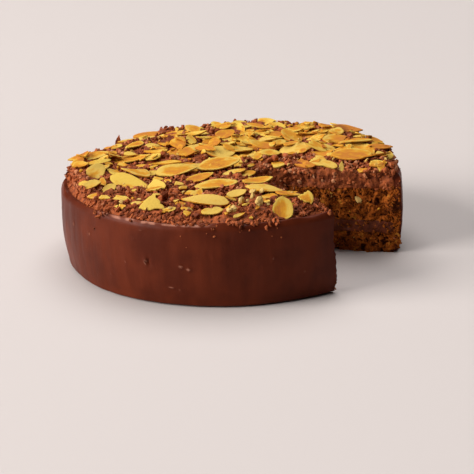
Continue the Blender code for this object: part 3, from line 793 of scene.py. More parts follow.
def bed_top(across, along):
    """Height of the crumb bed under the loose crumbs, with low domes on cells."""
    inside = smooth_step(CRUMB_RADIUS, CRUMB_RADIUS - 4.0 * MM, np.hypot(across, along))
    domed = BED_DOME * (0.35 - cells(across, along, BED_CELL, BED_SEED)[0]) * inside
    return topping_level(across, along) - crumb_dip(across, along) + domed


def cut_relief(reach, height, seed):
    """How far a cut face stands in or out: a slow sway, and the coarse crumb where it is sponge."""
    filling = (height > LOWER_SPONGE_TOP) & (height < FILLING_TOP)
    smooth = filling | (height > UPPER_SPONGE_TOP) | (reach > SPONGE_RADIUS)
    size = np.where(smooth, SMOOTH_RELIEF, CRUMB_RELIEF)
    relief = CUT_SWAY * ripple(reach, height, SWAY_WAVELENGTH, seed + len(RELIEF_WAVES))
    for index, (part, wavelength) in enumerate(RELIEF_WAVES):
        relief = relief + size * part * ripple(reach, height, wavelength, seed + index)
    return relief * np.clip(reach / CUT_FADE, 0.0, 1.0)


def domes(reach, height, seed, kinds):
    """Sum of domes on cells: each kind's height times how far the distance in its cells is below a level."""
    return MM * sum(tall * (level - cells(reach, height, size, seed + shift)[0])
                    for tall, level, size, shift in kinds)


def sponge_grain(depth):
    """Make the fine outward relief of torn sponge.

    Domes on cells of three sizes, less a round pit in two cells of five, on slightly warped coordinates.
    """
    def grain(reach, height, seed):
        warped = reach + 0.8 * MM * ripple(reach, height, 0.007, seed + 70)
        lifted = height + 0.8 * MM * ripple(reach, height, 0.006, seed + 71)
        pore, pick = cells(warped, lifted, PORE_SIZE, seed + 72)
        pit = smooth_step(0.0, 0.4, 0.50 * np.sqrt(pick / PORE_SHARE) - pore) * (pick < PORE_SHARE)
        return domes(warped, lifted, seed, SPONGE_DOMES) - depth * pit
    return grain


def filling_grain(reach, height, seed):
    """Fine outward relief of fudge: a slight bulge, slow dents and small domes."""
    dents = 0.25 * MM + 0.30 * MM * ripple(reach, height, 0.0062, seed + 81)
    return dents + domes(reach, height, seed, ((0.55, 0.42, 0.0026, 80),))


def bed_grain(reach, height, seed):
    """Fine outward relief of the torn chocolate layer: domes on cells of three sizes."""
    return domes(reach, height, seed, BED_DOMES)


def coat_grain(reach, height, seed):
    """Fine outward relief where the coat is cut: slow dents and small domes."""
    dents = 0.25 * MM * ripple(reach, height, 0.0045, seed + 95)
    return dents + domes(reach, height, seed, ((0.5, 0.42, 0.0018, 96),))


def torn_relief(reach, height, face, grain):
    """Relief of a cut face square to it, and the fine part of it, which fades out at the centre."""
    _, seed, side = face
    fine = grain(reach, height, seed) * np.clip(reach / CUT_FADE, 0.0, 1.0)
    return cut_relief(reach, height, seed) + side * fine, fine


def on_cut(reach, height, face, grain):
    """Points on a finished face of the cut: reach outwards, relief and grain square to it."""
    outward, square = cut_direction(face[0])
    relief, _ = torn_relief(reach, height, face, grain)
    return np.column_stack([reach[:, None] * outward + relief[:, None] * square, height])


def clinging(reach, height, width, count, face, grain, draw):
    """Centres and widths of lumps drawn evenly over part of a cut face; each of the three is a range."""
    centres = on_cut(draw.uniform(*reach, count), draw.uniform(*height, count), face, grain)
    return centres, draw.uniform(*width, count) * MM


def grid_quads(rows, columns, first=0):
    """Corner numbers of the quads of a grid whose points run row by row."""
    corner = first + np.arange(rows * columns).reshape(rows, columns)
    quads = np.stack([corner[:-1, :-1], corner[:-1, 1:], corner[1:, 1:], corner[1:, :-1]], axis=-1)
    return quads.reshape(-1, 4)


def shell_triangles(rings, columns):
    """Triangles of a closed shell: a pole, rings of points from it, and a second pole."""
    ring = 1 + np.arange(rings * columns).reshape(rings, columns)
    after = np.roll(ring, -1, axis=1)
    return np.concatenate([
        np.stack([np.zeros(columns, dtype=int), ring[0], after[0]], axis=-1),
        np.stack([ring[:-1], ring[1:], after[:-1]], axis=-1).reshape(-1, 3),
        np.stack([after[:-1], ring[1:], after[1:]], axis=-1).reshape(-1, 3),
        np.stack([np.full(columns, 1 + rings * columns), after[-1], ring[-1]], axis=-1),
    ])


def closed_rings(grid):
    """Points of a closed shell from a grid: one for the first row, all between, one for the last."""
    return np.concatenate([grid[:1, 0], grid[1:-1].reshape(-1, *grid.shape[2:]), grid[-1:, 0]])


def repeated(template, points_each, count):
    """Corner numbers of a template's faces for each of many like shells."""
    offsets = points_each * np.arange(count)
    return (template[None] + offsets[:, None, None]).reshape(-1, template.shape[1])


def keep_values(mesh, key, values):
    """Keep one value at each point of a mesh under a name."""
    layer = mesh.attributes.new(key, "FLOAT", "POINT")
    layer.data.foreach_set("value", np.ascontiguousarray(values, dtype=np.float32).ravel())


def mesh_from(name, points, faces, **values):
    """Put arrays of points and of equal-sided faces in a new mesh, with values kept at its points."""
    mesh = bpy.data.meshes.new(name)
    mesh.vertices.add(len(points))
    mesh.vertices.foreach_set("co", np.ascontiguousarray(points, dtype=np.float32).ravel())
    mesh.loops.add(faces.size)
    mesh.loops.foreach_set("vertex_index", faces.ravel().astype(np.int32))
    mesh.polygons.add(len(faces))
    mesh.polygons.foreach_set("loop_start", np.arange(0, faces.size, faces.shape[1], dtype=np.int32))
    mesh.update(calc_edges=True)
    for key, kept in values.items():
        keep_values(mesh, key, kept)
    return mesh


def close_seams(mesh):
    """Merge the points that patches share, drop what that flattens, and turn the faces outwards."""
    form = bmesh.new()
    form.from_mesh(mesh)
    bmesh.ops.remove_doubles(form, verts=form.verts, dist=WELD)
    bmesh.ops.recalc_face_normals(form, faces=form.faces)
    form.to_mesh(mesh)
    form.free()


def section_loop(rows, layers):
    """Row and layer numbers round a cross-section, leaving out its first row's own edge."""
    out = np.stack([np.arange(rows), np.zeros(rows, dtype=int)])
    across = np.stack([np.full(layers - 1, rows - 1), np.arange(1, layers)])
    back = np.stack([np.arange(rows - 2, -1, -1), np.full(rows - 1, layers - 1)])
    return np.concatenate([out, across, back], axis=1)


def carried_round(name, reach, height, columns, shape, grain):
    """Carry a cross-section round from one face of the cut to the other, and close both ends.

    Azimuths are even, plus the angle that each end's relief takes there, shared out over the run.
    `shape` turns nominal reach, height and azimuth into the true radius and height.
    """
    start, end = (math.radians(face[0]) for face in CUT_FACES)
    ring = tuple(section_loop(*reach.shape))
    share = np.linspace(0.0, 1.0, columns)[None, :]
    even = start + (end - start) * share
    patches, pits = [], []
    turned, grown = even, 0.0
    for face, near in zip(CUT_FACES, (1.0 - share, share)):
        far, level = shape(reach, height, math.radians(face[0]))
        relief, fine = torn_relief(far, level, face, grain)
        turn = np.arctan2(relief, np.maximum(far, MM * MM))
        growth = np.hypot(relief, far) - far
        patches.append(np.stack([*plan(far + growth, math.radians(face[0]) + turn), level], axis=-1))
        # How deep each point of a cut face lies in its fine relief, kept as pit for the painted shade in
        # pores and hollows.
        pits.append(np.clip(-fine / MM, 0.0, 1.0).ravel())
        turned = turned + turn[ring][:, None] * near
        grown = grown + growth[ring][:, None] * np.clip(1.0 - END_FADE * (1.0 - near), 0.0, 1.0)
    far, level = shape(reach[ring][:, None], height[ring][:, None], even)
    patches.append(np.stack([*plan(far + grown, turned), level], axis=-1))
    pits.append(np.zeros(level.size))
    firsts = np.cumsum([0, *(patch.size // 3 for patch in patches)])
    faces = [grid_quads(*patch.shape[:2], first) for patch, first in zip(patches, firsts)]
    points = np.concatenate([patch.reshape(-1, 3) for patch in patches])
    mesh = mesh_from(name, points, np.concatenate(faces), pit=np.concatenate(pits))
    close_seams(mesh)
    return mesh


def layer_mesh(name, radius, step, layers, columns, floor, ceiling, grain):
    """Carry a layer round the cake: its height runs in even shares from its ceiling to its floor."""
    def shape(reach, share, azimuth):
        x, y = plan(reach, azimuth)
        low = floor(x, y)
        level = low + share * (ceiling(x, y) - low)
        return np.broadcast_to(reach, level.shape), level
    reach = np.linspace(0.0, radius, round(radius / step) + 1)
    reach, share = np.meshgrid(reach, np.linspace(1.0, 0.0, layers), indexing="ij")
    return carried_round(name, reach, share, columns, shape, grain)


def smear(azimuth, height):
    """Upright palette-knife marks: waves that are short across and long up, between -1 and 1."""
    along = azimuth * CAKE_RADIUS
    return sum(part * ripple(along, slope * height, wavelength, seed, waves=SMEAR_WAVES)
               for part, slope, wavelength, seed in SMEARS)


def side_marks(azimuth, height):
    """Dents and dabs in the iced side: a sum of bell curves in azimuth and height."""
    total = 0.0
    for where, level, width, tall, depth in SIDE_MARKS:
        apart = (azimuth - math.radians(where) + math.pi) % math.tau - math.pi
        across = apart * CAKE_RADIUS / (width * MM)
        up = (height - level * MM) / (tall * MM)
        total = total + depth * MM * np.exp(-2.0 * (across ** 2 + up ** 2))
    return total


def coat_shape(smear_depth):
    """Make the shape of the iced coat: a slow swell, upright smears and marks, all gone at the inner wall."""
    def shape(reach, height, azimuth):
        def sway(wavelength, seed):
            return ripple(azimuth * CAKE_RADIUS, 0.0 * height, wavelength, seed)
        x, y = plan(reach, azimuth)
        swell = SIDE_UNEVENNESS * ripple(x, y + height, SIDE_WAVELENGTH, seed=11)
        outer = np.clip((reach - COAT_INNER) / MM, 0.0, 1.0)
        below = ICING_TOP - 2.0 * SHOULDER_DROP
        upright = smooth_step(ICING_TOP, below, height)
        texture = smear_depth * smear(azimuth, height) * (0.25 + 0.75 * upright) + side_marks(azimuth, height)
        bead = FOOT_BEAD * np.exp(-((height - ICING_FOOT) / FOOT_BEAD_HEIGHT) ** 2)
        bead = bead * (0.6 + 0.5 * sway(*BEAD_WAVE))
        edge = smooth_step(below, ICING_TOP, height) * outer
        lip = LIP_RISE * np.exp(-((reach - LIP_RADIUS) / LIP_WIDTH) ** 2) * (0.6 + 0.7 * sway(*LIP_WAVE))
        return reach + outer * (swell + texture + bead), height + (0.20 * MM * sway(*SAG_WAVE) + lip) * edge
    return shape


def coat_section():
    """Cross-section of the coat: outer profile over the shoulder and down, paired with the inner wall."""
    power = 2.0 / SHOULDER_POWER
    first = math.asin((1.0 - (SHOULDER_OUTER - COAT_INNER) / SHOULDER_WIDTH) ** (1.0 / power))
    turn = np.linspace(first, 0.5 * math.pi, SHOULDER_ROWS)
    fall = np.maximum(np.cos(turn), 0.0) ** power
    over = SHOULDER_OUTER - SHOULDER_WIDTH * (1.0 - np.sin(turn) ** power)
    shoulder = np.stack([over, SHOULDER_LOW + SHOULDER_DROP * fall])
    foot_top = ICING_FOOT + FOOT_ROUNDING
    heights = np.linspace(SHOULDER_LOW, foot_top, SIDE_ROWS)[1:]
    turn = np.linspace(0.0, 0.5 * math.pi, FOOT_ROWS + 1)[1:]
    under = float(side_radius(foot_top)) - FOOT_ROUNDING * (1.0 - np.cos(turn))
    foot = np.stack([under, foot_top - FOOT_ROUNDING * np.sin(turn)])
    skin = np.concatenate([shoulder, np.stack([side_radius(heights), heights]), foot], axis=1)
    share = np.linspace(0.0, 1.0, COAT_LAYERS)[None, :]
    reach = skin[0][:, None] * (1.0 - share) + COAT_INNER * share
    return reach, np.broadcast_to(skin[1][:, None], reach.shape)


def pale_marks_and_highlight(x, y, z):
    """How pale the icing is painted: on raised dabs; in patches on the lip of the rim in front, as a painted
    highlight; and in patches at the foot, partly smudged icing and partly a painted reflection.
    """
    azimuth = np.arctan2(x, -y)
    broken = smooth_step(-0.6, 0.4, ripple(azimuth * CAKE_RADIUS, z, 0.007, 107))
    # The pale patches along the lip are a painted highlight.
    lip = smooth_step(*HIGHLIGHT_REACH, np.hypot(x, y)) * smooth_step(*HIGHLIGHT_HEIGHT, z)
    start, full, end, gone = LIP_HIGHLIGHT
    window = smooth_step(start, full, np.degrees(azimuth)) * smooth_step(gone, end, np.degrees(azimuth))
    lip = lip * (0.30 + 0.45 * broken) * (0.1 + 0.9 * window)
    raised = 0.6 * np.maximum(side_marks(azimuth, z), 0.0) / (0.5 * MM)
    # The pale patches at the foot are partly smudged icing and partly a painted reflection.
    patches = smooth_step(-0.2, 0.8, ripple(azimuth * CAKE_RADIUS, z, 0.006, 106))
    return np.maximum(np.maximum(raised, lip), 0.3 * patches * smooth_step(3.5 * MM, 0.5 * MM, z))


def flake_spacing(y):
    """Least distance between flakes: close at the back, wider towards the front rim."""
    near, far = SPACING_RAMP
    share = min(max((-y - near) / (far - near), 0.0), 1.0)
    return SPACING_BACK + (SPACING_FRONT - SPACING_BACK) * share


def in_metres(rows):
    """Turn rows of flakes from millimetres to metres."""
    return [Flake(*(value * unit for value, unit in zip(row, FLAKE_UNITS))) for row in rows]


def let_down(row, drop):
    """The same flake, lower by a drop."""
    return row._replace(lift=row.lift - drop)


def laid(local, row):
    """Points of a flake's own frame, turned and moved to where the flake lies."""
    place = np.array(flake_place(row))
    return local @ place[:3, :3].T + place[:3, 3]


def place_flakes():
    """List every large flake: the chosen ones in front, then seeded ones, the largest first."""
    rows = in_metres(FRONT_FLAKES)
    draw = np.random.default_rng(LARGE_SEED)
    for length in np.sort(draw.uniform(*FLAKE_LENGTHS, FLAKE_COUNT))[::-1]:
        for _ in range(FLAKE_TRIES):
            x, y = random_spots(FLAKE_RIM, draw)
            clear = all(math.hypot(x - row.x, y - row.y) > flake_spacing(y) for row in rows)
            if clear and outside_cut(x, y, CUT_MARGIN):
                break
        else:
            continue
        turn = draw.uniform(0.0, 360.0)
        front, right = draw.normal(*TILT_TO_FRONT), draw.normal(*TILT_TO_RIGHT)
        share = 1.0 if draw.uniform() < WHOLE_SHARE else draw.uniform(*BROKEN_SHARES)
        width = length * draw.uniform(*FLAKE_WIDTHS)
        under = sum(math.hypot(x - row.x, y - row.y) < STACK_REACH * (length + row.length) for row in rows)
        lift = FLAKE_LIFT + FLAKE_STACK * min(under, STACK_MOST)
        row = Flake(x, y, lift, turn, length, width, front, right, share)
        rows.append(let_down(row, max(0.0, flake_clearance(row) + FLAKE_BITE)))
    return rows


def flake_place(row):
    """Matrix that turns and tilts a flake and sets it over the crumbs."""
    height = float(crumb_height(row.x, row.y)) + row.lift
    turns = ((row.right, "Y"), (row.front, "X"), (row.turn, "Z"))
    right, front, turn = (Matrix.Rotation(math.radians(angle), 4, axis) for angle, axis in turns)
    return Matrix.Translation((row.x, row.y, height)) @ (right @ front) @ turn


def teardrop(angle, tip, tail):
    """Outline of a sliced almond: cosine along, sine times powers of half-angle sine and cosine across."""
    def width(turn):
        return np.sin(turn) * np.abs(np.sin(0.5 * turn)) ** tip * np.abs(np.cos(0.5 * turn)) ** tail
    return np.cos(angle), width(angle) / width(np.linspace(0.0, math.pi, 181)).max()


def flake_clearance(row):
    """Height over the crumbs of the lowest corner of a flake's underside."""
    angle = math.tau * np.arange(FLAKE_SIDES) / FLAKE_SIDES
    across = np.sin(angle) * np.sin(0.5 * angle) ** TIP_POWER / TIP_SCALE
    along = np.maximum(np.cos(angle), 1.0 - 2.0 * row.share)
    under = np.full(FLAKE_SIDES, -0.5 * FLAKE_THICKNESS)
    x, y, z = laid(np.column_stack([0.5 * row.length * along, 0.5 * row.width * across, under]), row).T
    return float(np.min(z - crumb_height(x, y)))


def flake_cover(row, axis):
    """Part of the height map that a flake spans, its points under the flake, and the flake's height there."""
    near, beside = (np.flatnonzero(np.abs(axis - middle) < 0.5 * row.length) for middle in row[:2])
    place = np.array(flake_place(row))
    facing = place[:3, 2]
    x, y = np.meshgrid(axis[near] - row.x, axis[beside] - row.y, indexing="ij")
    drop = -(facing[0] * x + facing[1] * y) / facing[2]
    local = np.stack([x, y, drop], axis=-1) @ place[:3, :3]
    u, v = local[..., 0] / (0.5 * row.length), local[..., 1] / (0.5 * row.width)
    inside = (u * u + v * v < 1.0) & (u > 1.0 - 2.0 * row.share)
    return np.ix_(near, beside), inside, x, y, place[2, 3] + drop


def lay_on_map(levels, axis, row, thickness):
    """Raise the height map to the upper face of a flake."""
    window, inside, _, _, height = flake_cover(row, axis)
    levels[window] = np.where(inside, np.maximum(levels[window], height + 0.5 * thickness), levels[window])


def pile_map(rows, thickness):
    """Square height map of the topping with the given flakes lying on it."""
    axis = np.arange(-CAKE_RADIUS, CAKE_RADIUS, MAP_STEP)
    levels = topping_level(*np.meshgrid(axis, axis, indexing="ij")) + MAP_CRUMBS
    for row in rows:
        lay_on_map(levels, axis, row, thickness)
    return axis, levels


def drop_flake(levels, axis, row, thickness, draw):
    """Lay a flake on the map: tilted like the plane that fits best, and let down until it touches."""
    window, inside, across, along, _ = flake_cover(row, axis)
    if np.count_nonzero(inside) < LEAST_COVER:
        return row
    under = np.column_stack([np.ones(np.count_nonzero(inside)), across[inside], along[inside]])
    slope = np.linalg.lstsq(under, levels[window][inside], rcond=None)[0]
    front = math.degrees(math.atan(slope[2])) + draw.normal(*MORE_TO_FRONT)
    right = -math.degrees(math.atan(slope[1])) + draw.normal(*MORE_TO_RIGHT)
    front, right = (float(np.clip(tilt, -STEEPEST, STEEPEST)) for tilt in (front, right))
    row = row._replace(lift=0.0, front=front, right=right)
    window, inside, _, _, height = flake_cover(row, axis)
    gap = (height - levels[window])[inside]
    return let_down(row, float(np.quantile(gap, TOUCHING)) - 0.5 * thickness)


def back_corner(x, y):
    """1 in the corner behind on the left, where the crumbs show, and 0 away from it."""
    beside, behind = BACK_CORNER
    return smooth_step(*beside, x) * smooth_step(*behind, y)


def highest(x, y):
    """Greatest height that a flake may reach: lower along the far rim and behind on the left."""
    behind, beside = FAR_PART
    far = smooth_step(*behind, y) * smooth_step(*beside, x)
    return HIGHEST - LOWER_BEHIND * far - LOWER_CORNER * back_corner(x, y)


def settled(row):
    """The same flake, raised by the heap under it, less what it has to spare, then let down if too high."""
    raised = max(0.0, float(crumb_pile(*row[:2])) - max(0.0, row.lift - HEAP_SPARE))
    row = let_down(row, -raised)
    angle = np.linspace(0.0, math.tau, 24)
    u, v = 0.5 * row.length * np.cos(angle), 0.5 * row.width * np.sin(angle)
    top = float(laid(np.column_stack([u, v, 0.0 * angle]), row)[:, 2].max()) + MM
    return let_down(row, max(0.0, top - float(highest(*row[:2]))))


def flake_room(row, spacing):
    """Least distance of a further flake from one that lies already, wider round large ones in front."""
    return spacing + (ROOM_SHARE * row.length if row.y < ROOM_BACK and row.length > LARGE_FLAKE else 0.0)


def more_flakes(rows, count, lengths, spacing, front_share, thickness, seed):
    """Drop further flakes on the pile by a seeded rule, the largest first."""
    draw = np.random.default_rng(seed)
    axis, levels = pile_map(rows, thickness)
    added = []
    for length in np.sort(draw.uniform(*lengths, count))[::-1]:
        for _ in range(MORE_TRIES):
            x, y = random_spots(MORE_RIM - MORE_INSET * length, draw)
            keep = draw.uniform() < front_share or y > MORE_FRONT + MORE_FADE * draw.uniform()
            keep = keep and draw.uniform() > BARE_SHARE * back_corner(x, y)
            lying = rows + added
            clear = all(math.hypot(x - row.x, y - row.y) > flake_room(row, spacing) for row in lying)
            if keep and clear and outside_cut(x, y, MORE_MARGIN * length):
                break
        else:
            continue
        turn = draw.uniform(0.0, 360.0)
        share = 1.0 if draw.uniform() < MORE_WHOLE else draw.uniform(*BROKEN_SHARES)
        width = length * draw.uniform(*MORE_WIDTHS)
        row = Flake(x, y, 0.0, turn, length, width, 0.0, 0.0, share)
        row = drop_flake(levels, axis, row, thickness, draw)
        _, inside, _, _, height = flake_cover(row, axis)
        if inside.any() and height[inside].max() <= highest(x, y):
            lay_on_map(levels, axis, row, thickness)
            added.append(row)
    return added


def all_flakes(sizes):
    """Rows of every flake: large, middling, chosen slivers and small broken ones."""
    thickness = sizes.flake_thickness
    large = [settled(row) for index, row in enumerate(place_flakes()) if index not in BARE_FLAKES]
    laid_first = large + more_flakes(large, sizes.middle_flakes, *MIDDLE_RULE, thickness, MIDDLE_SEED)
    laid_first += [settled(row) for row in in_metres(FRONT_SLIVERS)]
    rows = laid_first + more_flakes(laid_first, sizes.small_flakes, *SMALL_RULE, thickness, SMALL_SEED)
    return [let_down(row, float(far_dip(*row[:2]))) for row in rows]


def broken_outline(along, across, share, draw):
    """Cut an outline off straight at its tail, then press it flat against one or two more ragged lines."""
    ragged = 0.11 * draw.uniform(-1.0, 1.0, (3, along.size))
    along = np.maximum(along, 1.0 - 2.0 * share + ragged[0])
    for index in range(1 + (draw.uniform() < 0.5)):
        turn = draw.uniform(0.3, math.tau - 0.3)
        beyond = along * math.cos(turn) + across * math.sin(turn)
        beyond = beyond - draw.uniform(*BREAK_AT) + ragged[index + 1]
        along = along - np.maximum(beyond, 0.0) * math.cos(turn)
        across = across - np.maximum(beyond, 0.0) * math.sin(turn)
    return along, across


def flake_forms(rows, looks, rings, columns, thickness, curl, seed):
    """Points and values of many flakes, and the triangles that join them.

    A flake is a teardrop shrunk ring by ring on both faces, with a crisp edge and a slightly
    hollow middle. It bends as a square of the distance along and twists with the product of
    along and across. Toasting falls from the middle to the rim and drifts from side to side.
    """
    draw = np.random.default_rng(seed)
    angle = math.tau * np.arange(columns) / columns
    steps = np.array(rings)
    thin = np.where(steps > 0.99, 0.8, 1.0) - 0.15 * (1.0 - steps ** 2)
    ring_share = np.concatenate([[0.0], steps, steps[::-1], [0.0]])[:, None]
    ring_level = 0.5 * np.concatenate([[0.85], thin, -thin[::-1], [-0.85]])[:, None]
    heart_level = 0.5 - smooth_step(0.72, 1.0, ring_share) - 0.25 * ring_share ** 2
    points, values = [], []
    for row, (toasted, heart, tip, tail, swapped, notch) in zip(rows, looks):
        length, width, share = row.length, row.width, row.share
        wobble = 1.0
        for size, lobes in WOBBLES:
            wobble = wobble + size * np.sin(lobes * angle + draw.uniform(0.0, math.tau))
        wobble = wobble + EDGE_NOISE * draw.uniform(-1.0, 1.0, columns)
        if notch:
            aside = (angle - math.radians(notch) + math.pi) % math.tau - math.pi
            wobble = wobble * (1.0 - NOTCH_DEPTH * np.exp(-(aside / NOTCH_WIDTH) ** 2))
        along, across = (part * wobble for part in teardrop(angle, tip, tail))
        if share < 1.0:
            along, across = broken_outline(along, across, share, draw)
        middle = 0.5 * (along.max() + along.min())
        u = middle + ring_share * (along - middle)
        v = ring_share * across
        bend = curl * draw.normal(0.0, 0.7)
        hollow = curl * draw.uniform(-0.2, 0.9)
        twist = curl * draw.normal(0.0, 0.5)
        rise = length * (bend * (u * u - 0.3) + twist * u * v) + width * hollow * (v * v - 0.3)
        half = -0.5 if swapped else 0.5
        grid = np.stack([half * length * u, half * width * v, thickness * ring_level + rise], axis=-1)
        local = closed_rings(grid)
        points.append(laid(local, row))
        way = draw.uniform(0.0, math.tau)
        drift = draw.uniform(0.05, 0.35) * (u * math.cos(way) + v * math.sin(way))
        toast = closed_rings(toasted + heart * heart_level + drift)
        start = draw.uniform(0.0, 1.0, 2)
        rim = closed_rings(np.broadcast_to(ring_share, u.shape))
        tone = np.full(len(local), draw.uniform())
        values.append(np.stack([rim, toast, tone, *(start[:, None] + 10.0 * local[:, :2].T)]))
    faces = repeated(shell_triangles(2 * len(rings), columns), len(points[0]), len(rows))
    return np.concatenate(points), faces, np.concatenate(values, axis=1)


def flake_mesh(name, batches):
    """Join batches of flakes in one crisp mesh, with each point's rim share, toasting, tone and place."""
    firsts = np.cumsum([0, *(len(batch[0]) for batch in batches)])
    faces = np.concatenate([batch[1] + first for batch, first in zip(batches, firsts)])
    values = np.concatenate([batch[2] for batch in batches], axis=1)
    kept = dict(zip(("rim", "toast", "tone", "along", "across"), values))
    mesh = mesh_from(name, np.concatenate([batch[0] for batch in batches]), faces, **kept)
    mesh.set_sharp_from_angle(angle=SHARP_ANGLE)
    return mesh


def ball_template(fine):
    """Points and triangles of a unit ball: an icosahedron, or where fine, a cube split and blown round."""
    form = bmesh.new()
    if fine:
        bmesh.ops.create_cube(form, size=2.0)
        bmesh.ops.subdivide_edges(form, edges=form.edges, cuts=1, use_grid_fill=True)
        for vert in form.verts:
            vert.co.normalize()
        bmesh.ops.triangulate(form, faces=form.faces)
    else:
        bmesh.ops.create_icosphere(form, subdivisions=1, radius=1.0)
    form.verts.index_update()
    points = np.array([vert.co[:] for vert in form.verts])
    faces = np.array([[vert.index for vert in face.verts] for face in form.faces])
    form.free()
    return points, faces


def random_turns(count, draw):
    """Random rotation matrices from unit quaternions."""
    q = draw.normal(size=(count, 4))
    q /= np.linalg.norm(q, axis=1)[:, None]
    w, x, y, z = q.T
    return np.stack([
        np.stack([1 - 2 * (y * y + z * z), 2 * (x * y - w * z), 2 * (x * z + w * y)], axis=-1),
        np.stack([2 * (x * y + w * z), 1 - 2 * (x * x + z * z), 2 * (y * z - w * x)], axis=-1),
        np.stack([2 * (x * z - w * y), 2 * (y * z + w * x), 1 - 2 * (x * x + y * y)], axis=-1),
    ], axis=1)


def lumps(centres, sizes, shake, flatness, fine, draw, facets=0):
    """Points, triangles and tones of many lumps.

    Each is a unit ball with every point drawn in or out at random, pressed flat against a few
    random planes, squashed, turned and scaled.
    """
    ball, triangles = ball_template(fine)
    count = len(centres)
    shapes = ball[None] * draw.uniform(1.0 - shake, 1.0 + shake, (count, len(ball), 1))
    for _ in range(facets):
        normal = draw.normal(size=(count, 1, 3))
        normal /= np.linalg.norm(normal, axis=2, keepdims=True)
        beyond = np.sum(shapes * normal, axis=2, keepdims=True) - draw.uniform(0.35, 0.75, (count, 1, 1))
        shapes = shapes - np.maximum(beyond, 0.0) * normal
    flat = [draw.uniform(*flatness, count) for _ in range(2)]
    squash = np.stack([np.ones(count), *flat], axis=-1)
    shapes = np.einsum("nij,nkj->nki", random_turns(count, draw), shapes * squash[:, None, :])
    points = centres[:, None, :] + 0.5 * sizes[:, None, None] * shapes
    tones = np.repeat(draw.uniform(size=count), len(ball))
    return points.reshape(-1, 3), repeated(triangles, len(ball), count), tones


def joined(spots):
    """Join pairs of centres and widths in one array of each."""
    return tuple(np.concatenate(part) for part in zip(*spots))


def on_topping(x, y, widths, share):
    """Centres of lumps that stand out of the topping by a share of their widths."""
    return np.stack([x, y, topping_level(x, y) + share * widths], axis=-1)


def scattered(spacing, draw):
    """Points jittered on a hexagonal grid over the top, clear of the missing slice and of the bare lip."""
    half = int(CAKE_RADIUS / spacing) + 2
    column, row = np.meshgrid(np.arange(-half, half + 1), np.arange(-half, half + 1))
    x, y = spacing * (column + 0.5 * (row % 2)).ravel(), spacing * 0.87 * row.ravel()
    x, y = (part + spacing * draw.uniform(-0.45, 0.45, part.size) for part in (x, y))
    azimuth = np.arctan2(x, -y)
    wavy = RIM_WAVE * ripple(CAKE_RADIUS * azimuth, 0.0 * azimuth, RIM_WAVELENGTH, RIM_SEED)
    keep = (np.hypot(x, y) < CRUMB_RIM - bare_lip(azimuth) + wavy) & outside_cut(x, y, 0.3 * MM)
    return x[keep], y[keep]


def rubble(count, draw):
    """Centres and widths of crumbs along the cut: on the top's edges, the torn layer and the coat's ends."""
    spots = []
    for face in CUT_FACES:
        outward, square = cut_direction(face[0])
        reach = draw.uniform(*EDGE_REACH, count)
        inwards = draw.uniform(0.0, 1.0, count) ** 1.5 * 7.0 * MM
        x, y = (reach[:, None] * outward - face[2] * inwards[:, None] * square).T
        width = draw.uniform(*EDGE_WIDTHS, count) * MM
        spots.append((on_topping(x, y, width, 0.12), width))
        torn = (UPPER_SPONGE_TOP - 1.0 * MM, ICING_TOP + 1.2 * MM)
        spots.append(clinging(LAYER_REACH, torn, LAYER_WIDTHS, count, face, bed_grain, draw))
        spots.append(clinging(COAT_ENDS, END_HEIGHTS, END_WIDTHS, count // 6, face, coat_grain, draw))
    return joined(spots)


def rim_crumbs(count, strays, draw):
    """Centres and widths of crumbs heaped inside the rim, of strays on the iced side, and of chosen lumps."""
    start, end = (math.radians(face[0]) for face in CUT_FACES)
    azimuth = draw.uniform(start, end, count)
    radius = draw.uniform(*HEAP_RING, count) - bare_lip(azimuth)
    x, y = plan(radius, azimuth)
    low = shoulder_level(radius)
    height = low + draw.uniform(0.0, 1.0, count) * np.maximum(topping_level(x, y) - low, 0.0)
    heap = np.column_stack([x, y, height + 0.1 * MM])
    azimuth = draw.uniform(start, end, strays)
    height = STRAY_TOP - STRAY_FALL * draw.uniform(0.0, 1.0, strays) ** 3.0
    width = draw.uniform(*STRAY_WIDTHS, strays) * MM
    fallen = np.column_stack([*plan(side_radius(height) + 0.05 * width, azimuth), height])
    clear = bare_lip(azimuth) < STRAY_LIP * MM
    azimuth, height, lump = np.array(RIM_LUMPS).T * [[math.radians(1.0)], [MM], [MM]]
    radius = np.minimum(side_radius(height), LUMP_REACH) - 0.02 * lump
    hanging = np.column_stack([*plan(radius, azimuth), height])
    heaped = draw.uniform(*HEAP_WIDTHS, count) * MM
    return joined([(heap, heaped), (fallen[clear], width[clear]), (hanging, lump)])


def props(rows, draw):
    """Centres and widths of crumbs that fill the room under large flakes that lie high."""
    spots = []
    for row in rows:
        turn = draw.uniform(0.0, math.tau, PROP_COUNT)
        share = 0.80 * np.sqrt(draw.uniform(0.0, 1.0, PROP_COUNT))
        u, v = np.maximum(share * np.cos(turn), 1.15 - 2.0 * row.share), share * np.sin(turn)
        x, y, z = laid(np.column_stack([0.5 * row.length * u, 0.5 * row.width * v, 0.0 * turn]), row).T
        gap = z - topping_level(x, y) - 0.6 * MM
        high = (gap > MM) & (np.hypot(x, y) < PROP_RIM) & outside_cut(x, y, 0.0)
        x, y, z, gap = (part[high] for part in (x, y, z, gap))
        width = np.clip(1.25 * gap, *PROP_SIZES)
        level = topping_level(x, y) + draw.uniform(0.3, 0.9, len(width)) * gap
        spots.append((np.column_stack([x, y, np.minimum(level, z - 0.5 * width - 0.3 * MM)]), width))
    return joined(spots)


